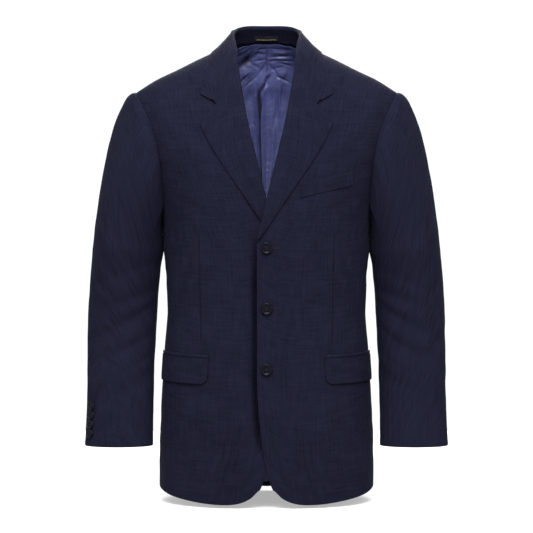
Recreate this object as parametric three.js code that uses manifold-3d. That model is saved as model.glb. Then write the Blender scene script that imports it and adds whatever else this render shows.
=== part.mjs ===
import * as THREE from 'three';
import Module from 'manifold-3d';
import { mergeVertices } from 'three/addons/utils/BufferGeometryUtils.js';

// A single-breasted three-button jacket, filled out and hollow, with open neck, hem, cuffs and armholes.
// Millimetres. +Z is up and the front faces -Y, so the jacket's own left side is +X.
// The origin is the middle of the neck, level with the inner ends of the shoulder seams.

const wasm = await Module();
wasm.setup();

// Cloth thicknesses and the room between pieces
const CLOTH = 1.6;
const LINING = 1;
const SEAM = 0.3;
const BLIND_SEAM = 0.5;

// Colours seen in daylight: navy linen, blue satin lining, dark horn-like buttons
const navy = new THREE.MeshStandardMaterial({ color: 0x25263a, roughness: 0.92, metalness: 0 });
const satin = new THREE.MeshStandardMaterial({ color: 0x3e446b, roughness: 0.45, metalness: 0 });
const woven = new THREE.MeshStandardMaterial({ color: 0x2a2c3c, roughness: 0.7, metalness: 0 });
const horn = new THREE.MeshStandardMaterial({ color: 0x1c1d24, roughness: 0.35, metalness: 0 });

const jacket = new THREE.Group();

// Reading tables

const mix = (a, b, t) => a + (b - a) * t;
const clamp = (v, low, high) => Math.min(Math.max(v, low), high);
const wave = (v) => v * v * (3 - 2 * v);
const ease = (from, to, v) => wave(clamp((v - from) / (to - from), 0, 1));

// One column of a table as a smooth curve through its rows, which rise by the column named in by
function read(table, by, at, column) {
  const last = table.length - 1;
  let i = 0;
  while (i < last - 1 && at > table[i + 1][by]) i += 1;
  const span = table[i + 1][by] - table[i][by];
  const slope = (k) => {
    const low = table[Math.max(k - 1, 0)];
    const high = table[Math.min(k + 1, last)];
    return ((high[column] - low[column]) / (high[by] - low[by])) * span;
  };
  const t = clamp((at - table[i][by]) / span, 0, 1);
  const a = table[i][column];
  const b = table[i + 1][column];
  const start = slope(i) * t * (1 - t) * (1 - t);
  const end = slope(i + 1) * t * t * (1 - t);
  return a + (b - a) * wave(t) + start - end;
}

// The body form: sections with flattened round sides, closing over the shoulders above chest level

const CHEST = -200;
const RISE = 140;
const SQUARE = 2.3;
const FRONT_ROUND = 1.1;
const BACK_ROUND = 0.6;

// Half width and depths of each section; level is millimetres above the chest, along the cloth
const BODY = [
  { level: -600, side: 186, front: 128, back: 124 },
  { level: -500, side: 187, front: 129, back: 124 },
  { level: -413, side: 183.4, front: 130, back: 121 },
  { level: -325, side: 178, front: 129, back: 114 },
  { level: -255, side: 173.3, front: 127, back: 106 },
  { level: -167, side: 177.5, front: 133, back: 112 },
  { level: -105, side: 180.5, front: 137, back: 121 },
  { level: -50, side: 190, front: 139, back: 127 },
  { level: 0, side: 205, front: 138, back: 130 },
  { level: 37, side: 222, front: 138, back: 130 },
  { level: 82, side: 238, front: 138, back: 130 },
  { level: RISE, side: 245, front: 138, back: 130 },
];

// Height and depth of the shoulder ridge; inside x 74 it closes over the open neck and carries no cloth
const RIDGE = [
  { x: 0, z: 46, y: 0 },
  { x: 20, z: 45, y: 0 },
  { x: 40, z: 38, y: 0 },
  { x: 60, z: 20, y: 1 },
  { x: 78, z: 3, y: 2 },
  { x: 95, z: -5.5, y: 2.5 },
  { x: 121, z: -17.6, y: 3 },
  { x: 156, z: -35, y: 4 },
  { x: 193, z: -52.6, y: 4.5 },
  { x: 229, z: -75, y: 5 },
];

const radians = THREE.MathUtils.degToRad;
const degrees = THREE.MathUtils.radToDeg;
const ridge = (x, column) => read(RIDGE, 'x', Math.abs(x), column);

// A point of the form. turn is -90 at the middle of the front, 0 at the side and 90 at the middle of the back
function form(turn, level) {
  const side = read(BODY, 'level', level, 'side');
  const across = Math.cos(radians(turn));
  const deep = Math.abs(Math.sin(radians(turn))) ** (2 / SQUARE);
  const x = side * Math.sign(across) * Math.abs(across) ** (2 / SQUARE);
  const y = deep * (turn < 0 ? -read(BODY, 'level', level, 'front') : read(BODY, 'level', level, 'back'));
  if (level <= 0) return new THREE.Vector3(x, y, CHEST + level);
  const roll = (Math.min(level / RISE, 1) * Math.PI) / 2;
  const kept = Math.max(Math.cos(roll), 0) ** (turn < 0 ? FRONT_ROUND : BACK_ROUND);
  const up = Math.sin(roll);
  return new THREE.Vector3(x, y * kept + ridge(x, 'y') * up, CHEST + (ridge(x, 'z') - CHEST) * up);
}

// The way the form's outer face looks at a point
function facing(turn, level) {
  const inside = Math.min(level, RISE - 1);
  const along = form(turn + 0.2, inside).sub(form(turn - 0.2, inside));
  const upward = form(turn, inside + 0.5).sub(form(turn, inside - 0.5));
  return along.cross(upward).normalize();
}

// The turn and level of the point of the form at a width and height, on its front (-1) or back (1)
function place(x, z, face) {
  const above = z > CHEST ? Math.min((z - CHEST) / (ridge(x, 'z') - CHEST), 1) : 0;
  const level = z > CHEST ? (Math.asin(above) / (Math.PI / 2)) * RISE : z - CHEST;
  const share = Math.abs(x) / read(BODY, 'level', level, 'side');
  const turn = degrees(Math.acos(Math.min(share, 1) ** (SQUARE / 2) * Math.sign(x || 1)));
  return { turn: turn * face, level };
}

// How far the left front stands out and the right front lies in, where they lap over each other
const LAP = [
  { z: -790, over: 1.3, under: 1.3 },
  { z: -400, over: 1.3, under: 1.3 },
  { z: -340, over: 3.9, under: 3.1 },
  { z: -300, over: 4.8, under: 3.6 },
  { z: -262, over: 4.2, under: 3.2 },
  { z: -222, over: 0.6, under: 0.6 },
  { z: -190, over: 0, under: 0 },
];
const LAP_FULL = 19;
const LAP_ENDS = 46;

function lap(side, x, z) {
  const share = 1 - ease(LAP_FULL, LAP_ENDS, x);
  if (z > LAP[LAP.length - 1].z) return 0;
  return side > 0 ? read(LAP, 'z', z, 'over') * share : -read(LAP, 'z', z, 'under') * share;
}

// A point of the cloth on one side of the jacket, raised from the form, with the way its outer face looks
function cloth(side, turn, level, raised = 0) {
  const out = facing(turn, level);
  const point = form(turn, level);
  const rise = turn < 0 ? raised + lap(side, point.x, point.z) : raised;
  return { point: point.addScaledVector(out, rise), out };
}

// The same, placed by width and height
function clothAt(side, x, z, face, raised = 0) {
  const spot = place(x, z, face);
  return cloth(side, spot.turn, spot.level, raised);
}

// Walls of cloth

// Moves the edges of a grid in by half a seam
function drawIn(grid, gap = SEAM / 2) {
  const rows = grid.length - 1;
  const columns = grid[0].length - 1;
  const nudge = (at, next) => {
    const step = next.point.clone().sub(at.point).normalize();
    at.point.addScaledVector(step, gap);
  };
  for (let r = 0; r <= rows; r += 1) {
    nudge(grid[r][0], grid[r][1]);
    nudge(grid[r][columns], grid[r][columns - 1]);
  }
  for (let c = 0; c <= columns; c += 1) {
    nudge(grid[0][c], grid[1][c]);
    nudge(grid[rows][c], grid[rows - 1][c]);
  }
  return grid;
}

// Finds the way each point of a plain grid of points looks, from its neighbours
function faceOut(points, look, closed = false) {
  const rows = points.length;
  const columns = points[0].length;
  const column = (c) => (closed ? (c + columns) % columns : clamp(c, 0, columns - 1));
  return points.map((row, r) => row.map((point, c) => {
    const up = points[Math.min(r + 1, rows - 1)][c].clone().sub(points[Math.max(r - 1, 0)][c]);
    const across = row[column(c + 1)].clone().sub(row[column(c - 1)]);
    return { point: point.clone(), out: across.cross(up).normalize().multiplyScalar(look) };
  }));
}

// A wall from a grid of outer points, as one closed body; side -1 mirrors it to the jacket's right
function wall(name, side, grid, thickness, material) {
  const rows = grid.length;
  const columns = grid[0].length;
  const positions = [];
  const add = (at, depth) => {
    const p = at.point.clone().addScaledVector(at.out, -depth);
    positions.push(p.x * side, p.y, p.z);
  };
  grid.forEach((row) => row.forEach((at) => add(at, 0)));
  grid.forEach((row) => row.forEach((at) => add(at, thickness)));
  const outer = (r, c) => r * columns + c;
  const inner = (r, c) => rows * columns + r * columns + c;
  const faces = [];
  const quad = (a, b, c, d) => faces.push(a, b, c, a, c, d);
  for (let r = 0; r < rows - 1; r += 1) {
    for (let c = 0; c < columns - 1; c += 1) {
      quad(outer(r, c), outer(r, c + 1), outer(r + 1, c + 1), outer(r + 1, c));
      quad(inner(r, c), inner(r + 1, c), inner(r + 1, c + 1), inner(r, c + 1));
    }
  }
  for (let r = 0; r < rows - 1; r += 1) {
    const far = columns - 1;
    quad(outer(r, 0), outer(r + 1, 0), inner(r + 1, 0), inner(r, 0));
    quad(outer(r, far), inner(r, far), inner(r + 1, far), outer(r + 1, far));
  }
  for (let c = 0; c < columns - 1; c += 1) {
    const top = rows - 1;
    quad(outer(0, c), inner(0, c), inner(0, c + 1), outer(0, c + 1));
    quad(outer(top, c), outer(top, c + 1), inner(top, c + 1), inner(top, c));
  }
  const first = grid[0][0];
  const across = grid[0][1].point.clone().sub(first.point);
  const upward = grid[1][0].point.clone().sub(first.point);
  const turnedIn = across.cross(upward).dot(first.out) * side < 0;
  if (turnedIn) faces.reverse();
  const geometry = new THREE.BufferGeometry();
  geometry.setAttribute('position', new THREE.Float32BufferAttribute(positions, 3));
  geometry.setIndex(faces);
  geometry.computeVertexNormals();
  const mesh = new THREE.Mesh(geometry, material);
  mesh.name = name;
  jacket.add(mesh);
  return mesh;
}

// Body panels: two fronts, two side bodies and two backs, from the hem up to the underarm and the shoulders

// The height of the hem around the body, and of the row where the armholes begin
const HEM = [
  { turn: -96, z: -753 },
  { turn: -88, z: -753 },
  { turn: -84, z: -769 },
  { turn: -79, z: -774.5 },
  { turn: -72, z: -776.5 },
  { turn: -60, z: -776 },
  { turn: -35, z: -769.5 },
  { turn: 0, z: -760 },
  { turn: 35, z: -767 },
  { turn: 90, z: -779 },
];
const UNDERARM = [
  { turn: -96, z: -312 },
  { turn: -60, z: -300 },
  { turn: -19, z: -275 },
  { turn: -10, z: -295 },
  { turn: 0, z: -305 },
  { turn: 10, z: -303 },
  { turn: 20, z: -291 },
  { turn: 30, z: -268 },
  { turn: 60, z: -272 },
  { turn: 90, z: -276 },
];

// The long seams on each side of the side body, by the share of the way up from hem to underarm
const SIDE_SEAMS = [
  { up: 0, front: -25, back: 40 },
  { up: 0.4, front: -24, back: 38 },
  { up: 0.7, front: -22, back: 36 },
  { up: 1, front: -19, back: 30 },
];

// The front edge below the lapel; the right front's is its mirror
const FRONT_EDGE = [
  { z: -753, x: 11 },
  { z: -746, x: 7.5 },
  { z: -720, x: 0 },
  { z: -690, x: -6.2 },
  { z: -651, x: -10.5 },
  { z: -617, x: -13.7 },
  { z: -585, x: -15.6 },
  { z: -545, x: -16 },
  { z: -338, x: -16 },
];
const LAPEL_FOOT = -337;

// The roll line, where the lapel turns over, the height of its soft fold, and the lapel's outer edge
const LAPEL = [
  { z: -334, x: -16, puff: 4.4, edgeX: -9, edgeZ: -331 },
  { z: -316, x: -12, puff: 4.5, edgeX: 11, edgeZ: -301 },
  { z: -287, x: -5, puff: 4.6, edgeX: 37, edgeZ: -262 },
  { z: -250, x: 3.5, puff: 5, edgeX: 55, edgeZ: -236 },
  { z: -195, x: 17, puff: 6, edgeX: 76, edgeZ: -205 },
  { z: -125, x: 33, puff: 7, edgeX: 96, edgeZ: -172 },
  { z: -36, x: 47.5, puff: 8, edgeX: 112.5, edgeZ: -138 },
];
const NOTCH = { x: 83.5, z: -107 };
const NECK = { x: 74, rollZ: -36 };
const FOLD_ROOM = 2;
const foldRadius = (z) => (read(LAPEL, 'z', z, 'puff') + CLOTH) / 2;
const roll = (z) => read(LAPEL, 'z', z, 'x');

// Armhole edges in front and back, from the underarm (along 0) to the shoulder (along 1)
const ARMHOLE_FRONT = [
  { along: 0, x: 176.1, z: -275 },
  { along: 0.12, x: 177.3, z: -249 },
  { along: 0.28, x: 179.5, z: -218 },
  { along: 0.45, x: 185, z: -183 },
  { along: 0.6, x: 193, z: -153 },
  { along: 0.76, x: 203.5, z: -124 },
  { along: 0.89, x: 215.5, z: -99 },
  { along: 1, x: 229, z: -74 },
];
const ARMHOLE_BACK = [
  { along: 0, x: 164.2, z: -268 },
  { along: 0.15, x: 172, z: -240 },
  { along: 0.33, x: 181.5, z: -205 },
  { along: 0.5, x: 190, z: -172 },
  { along: 0.66, x: 199, z: -142 },
  { along: 0.79, x: 208.5, z: -116 },
  { along: 0.9, x: 219, z: -93 },
  { along: 1, x: 229, z: -74 },
];
const ALONG = [0, 0.14, 0.28, 0.42, 0.56, 0.69, 0.8, 0.89, 0.955, 1];
const ARMHOLE_STEPS = ALONG.length - 1;
const UNDERARM_STEPS = 6;
const BODY_STEPS = [0, 0.02, 0.06, 0.13, 0.23, 0.35, 0.47, 0.59, 0.71, 0.81, 0.885, 0.941, 0.9524, 1];

// Turn and level at a station of the armhole; the shoulder end lies on the ridge
function armhole(table, face, along) {
  const shoulder = table[table.length - 1].x;
  if (along >= 1) return place(shoulder, ridge(shoulder, 'z'), face);
  return place(read(table, 'along', along, 'x'), read(table, 'along', along, 'z'), face);
}

// A point of the lower body, a share of the way up from the hem
const heightAt = (turn, up) => mix(read(HEM, 'turn', turn, 'z'), read(UNDERARM, 'turn', turn, 'z'), up);
const lowerSpot = (turn, up) => ({ turn, level: heightAt(turn, up) - CHEST });

// The front edge, which steps in behind the lapel's fold, and the same as a turn at a share of the way up
const frontEdge = (z) => {
  if (z < LAPEL_FOOT) return read(FRONT_EDGE, 'z', z, 'x');
  return roll(z) + foldRadius(z) + FOLD_ROOM + BLIND_SEAM;
};
const edgeTurn = (up) => {
  const z = heightAt(-90, up);
  return place(frontEdge(z), z, -1).turn;
};

// Where a front's inner edge runs above the underarm row: along the roll line, then the neck seam
const COLLAR_SEAM = { x: 65, z: -17 };
function innerSpot(step) {
  const up = step / (ARMHOLE_STEPS - 2);
  if (up <= 1) {
    const z = mix(read(UNDERARM, 'turn', -92, 'z'), NECK.rollZ, up);
    return place(frontEdge(z), z, -1);
  }
  if (step === ARMHOLE_STEPS - 1) return place(COLLAR_SEAM.x, COLLAR_SEAM.z, -1);
  return place(NECK.x, ridge(NECK.x, 'z'), -1);
}

// A row of cloth points between two spots, spaced by the shares given
function rowBetween(side, from, to, shares, raised = 0) {
  return shares.map((s) => cloth(side, mix(from.turn, to.turn, s), mix(from.level, to.level, s), raised));
}

const FRONT_SHARES = [0, 0.05, 0.12, 0.22, 0.34, 0.47, 0.6, 0.74, 0.88, 1];
const BACK_SHARES = [0, 0.16, 0.33, 0.5, 0.67, 0.84, 1];
const SIDE_SHARES = [0, 1 / 6, 2 / 6, 3 / 6, 4 / 6, 5 / 6, 1];

// Lower rows of a panel between two turns that depend on the share of the way up
function lowerRows(side, fromTurn, toTurn, shares, raised = 0) {
  return BODY_STEPS.map((up) => shares.map((s) => {
    const spot = lowerSpot(mix(fromTurn(up), toTurn(up), s), up);
    return cloth(side, spot.turn, spot.level, raised);
  }));
}

const frontSeam = (up) => read(SIDE_SEAMS, 'up', up, 'front');
const backSeam = (up) => read(SIDE_SEAMS, 'up', up, 'back');

// Where a back's inner edge runs above the underarm row: up the middle seam, then along the neck seam
const BACK_NECK = [
  { step: 6, x: 0.01, z: 24 },
  { step: 7, x: 38, z: 21.5 },
  { step: 8, x: 62, z: 13 },
];
function backInnerSpot(step) {
  if (step === ARMHOLE_STEPS) return place(NECK.x, ridge(NECK.x, 'z'), 1);
  const neck = BACK_NECK.find((row) => row.step === Math.max(step, BACK_NECK[0].step));
  const spot = place(neck.x, neck.z, 1);
  if (step >= BACK_NECK[0].step) return spot;
  return { turn: 90, level: mix(lowerSpot(90, 1).level, spot.level, step / BACK_NECK[0].step) };
}

// All rows of a back, from its side seam or armhole to the middle
function backRows(side, shares, raised) {
  const rows = lowerRows(side, backSeam, () => 90, shares, raised);
  for (let step = 1; step <= ARMHOLE_STEPS; step += 1) {
    const outer = armhole(ARMHOLE_BACK, 1, ALONG[step]);
    rows.push(rowBetween(side, outer, backInnerSpot(step), shares, raised));
  }
  return rows;
}

function addPanels(side, word) {
  const front = lowerRows(side, edgeTurn, frontSeam, FRONT_SHARES);
  for (let step = 1; step <= ARMHOLE_STEPS; step += 1) {
    const outer = armhole(ARMHOLE_FRONT, -1, ALONG[step]);
    front.push(rowBetween(side, innerSpot(step), outer, FRONT_SHARES));
  }
  wall(`${word}_front`, side, drawIn(front), CLOTH, navy);

  const middle = lowerRows(side, frontSeam, backSeam, SIDE_SHARES);
  wall(`${word}_side_body`, side, drawIn(middle), CLOTH, navy);

  wall(`${word}_back`, side, drawIn(backRows(side, BACK_SHARES, 0)), CLOTH, navy);
}

addPanels(1, 'left');
addPanels(-1, 'right');

// Sleeves: a top sleeve and an under sleeve, set into the armhole and hanging a little forward

// Ring centre, half width and half depth down the sleeve
const SLEEVE = [
  { z: -690, x: 254.3, wide: 58.8, y: -45, deep: 37 },
  { z: -613, x: 253.7, wide: 57.8, y: -25, deep: 43 },
  { z: -525, x: 253.2, wide: 59.5, y: -8, deep: 51 },
  { z: -438, x: 250, wide: 60.7, y: -1, deep: 60 },
  { z: -350, x: 243, wide: 61, y: -5, deep: 70 },
];
const CUFF = -687;
const CAP_ENDS = -350;

// How the sleeve leaves the armhole around the cap, and how gently it comes down to its first ring
const CAP = [
  { round: 0, out: 0.97, fore: 0, down: 0.2, reach: 130, settle: 300 },
  { round: 45, out: 0.85, fore: 0.35, down: 0.4, reach: 110, settle: 220 },
  { round: 90, out: 0.55, fore: 0.65, down: 0.5, reach: 80, settle: 150 },
  { round: 138, out: 0.5, fore: 0.45, down: 0.75, reach: 45, settle: 70 },
  { round: 180, out: 0.25, fore: 0, down: 0.97, reach: 30, settle: 40 },
  { round: 222, out: 0.5, fore: -0.4, down: 0.77, reach: 45, settle: 70 },
  { round: 270, out: 0.6, fore: -0.6, down: 0.5, reach: 80, settle: 150 },
  { round: 315, out: 0.85, fore: -0.3, down: 0.4, reach: 110, settle: 220 },
  { round: 360, out: 0.97, fore: 0, down: 0.2, reach: 130, settle: 300 },
];
const CAP_STEPS = [0, 0.05, 0.12, 0.2, 0.3, 0.42, 0.56, 0.7, 0.85];
const ARM_WAY = new THREE.Vector3(0.1, 0, -1);
const ARM_STEPS = 12;
const UNDER_ARC = 84;

// Soft folds where the sleeve bends, across it or slanting; round 90 is the front and 270 the back
const SLEEVE_FOLDS = [
  { z: -432, round: 118, slant: 0.35, long: 46, wide: 13, deep: 4 },
  { z: -478, round: 100, slant: 0.5, long: 58, wide: 15, deep: 4.5 },
  { z: -528, round: 84, slant: 0.3, long: 50, wide: 14, deep: 3.5 },
  { z: -585, round: 110, slant: 0.45, long: 52, wide: 16, deep: 3.5 },
  { z: -395, round: 250, slant: -0.3, long: 48, wide: 15, deep: 3.5 },
  { z: -470, round: 262, slant: 0.25, long: 50, wide: 14, deep: 3 },
  { z: -560, round: 240, slant: -0.4, long: 46, wide: 15, deep: 3 },
];
const FOLD_GIRTH = 54;

// How far a point of the sleeve sinks into the folds near it
function sunk(round, z) {
  return SLEEVE_FOLDS.reduce((sum, fold) => {
    const across = radians(round - fold.round) * FOLD_GIRTH;
    const up = z - fold.z - across * fold.slant;
    return sum + fold.deep * Math.exp(-((across / fold.long) ** 2) - (up / fold.wide) ** 2);
  }, 0);
}

// Degrees round the sleeve, from its outer side over the front, at a column counted from the shoulder
function roundAt(column) {
  const half = 180 - UNDER_ARC / 2;
  const inner = column - ARMHOLE_STEPS;
  if (inner <= 0) return (column / ARMHOLE_STEPS) * half;
  if (inner <= UNDERARM_STEPS) return half + (inner / UNDERARM_STEPS) * UNDER_ARC;
  return half + UNDER_ARC + ((inner - UNDERARM_STEPS) / ARMHOLE_STEPS) * half;
}

// The armhole's spot on the form at the same column
function armholeSpot(column) {
  const inner = column - ARMHOLE_STEPS;
  if (inner <= 0) return armhole(ARMHOLE_FRONT, -1, ALONG[ARMHOLE_STEPS - column]);
  if (inner >= UNDERARM_STEPS) return armhole(ARMHOLE_BACK, 1, ALONG[inner - UNDERARM_STEPS]);
  return lowerSpot(mix(frontSeam(1), backSeam(1), SIDE_SHARES[inner]), 1);
}

// A point of the sleeve below its cap
function ringPoint(round, z) {
  const angle = radians(round);
  const inset = sunk(round, z);
  const wide = read(SLEEVE, 'z', z, 'wide') - inset;
  const deep = read(SLEEVE, 'z', z, 'deep') - inset;
  const x = read(SLEEVE, 'z', z, 'x') + wide * Math.cos(angle);
  return new THREE.Vector3(x, read(SLEEVE, 'z', z, 'y') - deep * Math.sin(angle), z);
}

// A point of the cap, a share of the way from the armhole to the first ring
function capPoint(column, t) {
  const round = roundAt(column);
  const spot = armholeSpot(column);
  const start = cloth(1, spot.turn, spot.level, BLIND_SEAM);
  const way = new THREE.Vector3(
    read(CAP, 'round', round, 'out'),
    -read(CAP, 'round', round, 'fore'),
    -read(CAP, 'round', round, 'down'),
  ).normalize();
  const end = ringPoint(round, CAP_ENDS);
  const settle = read(CAP, 'round', round, 'settle');
  const from = start.point.addScaledVector(way, BLIND_SEAM);
  const leave = way.multiplyScalar(read(CAP, 'round', round, 'reach') * t * (1 - t) * (1 - t));
  const arrive = ARM_WAY.clone().multiplyScalar(-settle * t * t * (1 - t));
  return from.lerp(end, wave(t)).add(leave).add(arrive);
}

const COLUMNS = 2 * ARMHOLE_STEPS + UNDERARM_STEPS;
const FORE_SEAM = 9;
const HIND_SEAM = 20;

// Each sleeve turns about the arm as it comes down, which brings the cuff opening round to the outside
const SLEEVE_TURN = { left: 22, right: 86 };
const TURNED_BY = -620;
const turned = (word, z) => SLEEVE_TURN[word] * ease(CAP_ENDS, TURNED_BY, z);

function sleeveGrid(word) {
  const columns = Array.from({ length: COLUMNS }, (_, column) => column);
  const cap = CAP_STEPS.map((t) => columns.map((column) => capPoint(column, t)));
  for (let step = 0; step <= ARM_STEPS; step += 1) {
    const z = mix(CAP_ENDS, CUFF, step / ARM_STEPS);
    cap.push(columns.map((column) => ringPoint(roundAt(column) + turned(word, z), z)));
  }
  return faceOut(cap, 1, true);
}

// The columns of a closed grid from one seam to the next
function strip(grid, from, to) {
  return grid.map((row) => {
    const cut = [];
    for (let c = from; c <= to; c += 1) {
      const at = row[c % row.length];
      cut.push({ point: at.point.clone(), out: at.out });
    }
    return cut;
  });
}

function addSleeve(side, word) {
  const grid = sleeveGrid(word);
  wall(`${word}_top_sleeve`, side, drawIn(strip(grid, HIND_SEAM, COLUMNS + FORE_SEAM)), CLOTH, navy);
  wall(`${word}_under_sleeve`, side, drawIn(strip(grid, FORE_SEAM, HIND_SEAM)), CLOTH, navy);
}

addSleeve(1, 'left');
addSleeve(-1, 'right');

// Lapels and collar: one soft fold each, then cloth lying on the fronts, the shoulders and the upper back

// Columns run from the fold to a line through the notch, then on to the outer edge
const EDGE_LIFT = 2.6;
const MID_COLUMNS = 4;
const EDGE_COLUMNS = 3;
const LAPEL_ROWS = 13;
const ROW_CROWDING = 0.9;
const NOTCH_SHARE = 0.55;
const FOLD_SHARE = 0.04;
const FOLD_ANGLES = [-90, -45, 0, 45, 90];

// The round of a fold in section, from the seam side over its tip to the turned-down side
function foldPoints(seam, tip, turnedDown, radius) {
  const toSeam = seam.clone().sub(tip).normalize();
  const toCloth = turnedDown.clone().sub(tip).normalize();
  const outward = toSeam.clone().add(toCloth).normalize().negate();
  const over = toCloth.clone().sub(toSeam);
  over.addScaledVector(outward, -over.dot(outward)).normalize();
  const centre = tip.clone().addScaledVector(outward, -radius);
  return FOLD_ANGLES.map((angle) => centre.clone()
    .addScaledVector(over, radius * Math.sin(radians(angle)))
    .addScaledVector(outward, radius * Math.cos(radians(angle))));
}

// Widths and heights across the turned-down cloth, from the fold by way of the middle to the edge
function acrossFlat(start, middle, edge) {
  const spots = [];
  for (let c = 0; c < MID_COLUMNS; c += 1) {
    const t = c / MID_COLUMNS;
    spots.push({ x: mix(start.x, middle.x, t), z: mix(start.z, middle.z, t) });
  }
  for (let c = 0; c <= EDGE_COLUMNS; c += 1) {
    const t = c / EDGE_COLUMNS;
    spots.push({ x: mix(middle.x, edge.x, t), z: mix(middle.z, edge.z, t) });
  }
  return spots;
}
const flatLift = (puff, column, edge = EDGE_LIFT) => {
  const share = column / (MID_COLUMNS + EDGE_COLUMNS);
  return mix(edge, puff, Math.cos((share * Math.PI) / 2));
};

// One row of a lapel
function lapelRow(side, z) {
  const radius = foldRadius(z);
  const puff = read(LAPEL, 'z', z, 'puff');
  const up = (z - LAPEL[0].z) / (NECK.rollZ - LAPEL[0].z);
  const edge = { x: read(LAPEL, 'z', z, 'edgeX'), z: read(LAPEL, 'z', z, 'edgeZ') };
  const start = { x: roll(z) + radius, z: mix(z, edge.z, FOLD_SHARE) };
  const top = LAPEL[LAPEL.length - 1];
  const straight = { x: mix(top.x, top.edgeX, NOTCH_SHARE), z: mix(top.z, top.edgeZ, NOTCH_SHARE) };
  const pull = ease(0.5, 1, up);
  const middle = {
    x: mix(roll(z), edge.x, NOTCH_SHARE) + (NOTCH.x - straight.x) * pull,
    z: mix(z, edge.z, NOTCH_SHARE) + (NOTCH.z - straight.z) * pull,
  };
  const flat = acrossFlat(start, middle, edge)
    .map((at, c) => clothAt(side, at.x, at.z, -1, flatLift(puff, c)).point);
  const seam = clothAt(side, roll(z) + radius + FOLD_ROOM, z, -1, -CLOTH).point;
  const tip = clothAt(side, roll(z), z, -1, (puff - CLOTH) / 2).point;
  return [seam, ...foldPoints(seam, tip, flat[0], radius).slice(0, -1), ...flat];
}

function lapelGrid(side) {
  const rows = [];
  for (let r = 0; r <= LAPEL_ROWS; r += 1) {
    rows.push(lapelRow(side, mix(LAPEL[0].z, NECK.rollZ, (r / LAPEL_ROWS) ** ROW_CROWDING)));
  }
  return faceOut(rows, 1);
}

wall('left_lapel', 1, drawIn(lapelGrid(1)), CLOTH, navy);
wall('right_lapel', -1, drawIn(lapelGrid(-1)), CLOTH, navy);

// How far a point lies over the shoulder: 0 at the chest in front, 90 on the ridge, 180 at the back
function overAt(x, z, face) {
  const front = degrees(Math.asin(Math.min((z - CHEST) / (ridge(x, 'z') - CHEST), 1)));
  return face < 0 ? front : 180 - front;
}
function clothOver(x, over, raised) {
  const face = over < 90 ? -1 : 1;
  const level = (RISE * (over < 90 ? over : 180 - over)) / 90;
  const share = Math.min(Math.abs(x) / read(BODY, 'level', level, 'side'), 1);
  return cloth(1, degrees(Math.acos(share ** (SQUARE / 2))) * face, level, raised).point;
}

const COLLAR_PUFF = 8;
const COLLAR_EDGE_LIFT = 4;
const COLLAR_STEPS = 14;
const GORGE = 7;
const gorgeTip = clothAt(1, roll(NECK.rollZ), NECK.rollZ, -1, (COLLAR_PUFF - CLOTH) / 2).point;

// The collar's neck seam and fold, from the middle of the back (at 0) to the gorge
const COLLAR_LINES = [
  { at: 0, face: 1, seamX: 0.01, seamZ: 24.8, foldX: 0, foldY: 62, foldZ: 49 },
  { at: 1, face: 1, seamX: 36, seamZ: 22.8, foldX: 34, foldY: 59, foldZ: 48.5 },
  { at: 2, face: 1, seamX: 59.8, seamZ: 16.2, foldX: 54, foldY: 43, foldZ: 43 },
  { at: 3, face: 1, seamX: 71.4, seamZ: 9, foldX: 60, foldY: 10, foldZ: 33 },
  { at: 4, face: -1, seamX: 70, seamZ: -1.5, foldX: 58, foldY: -24, foldZ: 19 },
  { at: 5, face: -1, seamX: 64.4, seamZ: -15.5, foldX: 53, foldY: -47, foldZ: 6 },
  { at: 6, face: -1, seamX: 59, seamZ: -25.8, foldX: 49.8, foldY: -74, foldZ: -15 },
  { at: GORGE, face: -1, seamX: 54, seamZ: -36, foldX: gorgeTip.x, foldY: gorgeTip.y, foldZ: gorgeTip.z },
];

// The middle and the outer edge of the collar's fall at the same places, and how far it lies on the front
const COLLAR_FALL = [
  { midX: 0.01, midZ: 23, edgeX: 0.01, edgeZ: 0, lies: 0 },
  { midX: 38, midZ: 20, edgeX: 46, edgeZ: -3, lies: 0 },
  { midX: 71, midZ: 5, edgeX: 86, edgeZ: -9, lies: 0 },
  { midX: 84, midZ: 2, edgeX: 98, edgeZ: -4, lies: 0 },
  { midX: 86, midZ: -13, edgeX: 101, edgeZ: -24, lies: 0 },
  { midX: 86, midZ: -40, edgeX: 104.5, edgeZ: -46, lies: 0.3 },
  { midX: 85, midZ: -73, edgeX: 108.5, edgeZ: -67, lies: 0.8 },
  { midX: NOTCH.x, midZ: NOTCH.z, edgeX: 112.5, edgeZ: -87, lies: 1 },
];
const COLLAR = COLLAR_LINES.map((line, i) => ({
  ...line,
  ...COLLAR_FALL[i],
  seamOver: overAt(line.seamX, line.seamZ, line.face),
  midOver: overAt(COLLAR_FALL[i].midX, COLLAR_FALL[i].midZ, line.face),
  edgeOver: overAt(COLLAR_FALL[i].edgeX, COLLAR_FALL[i].edgeZ, line.face),
}));

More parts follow.
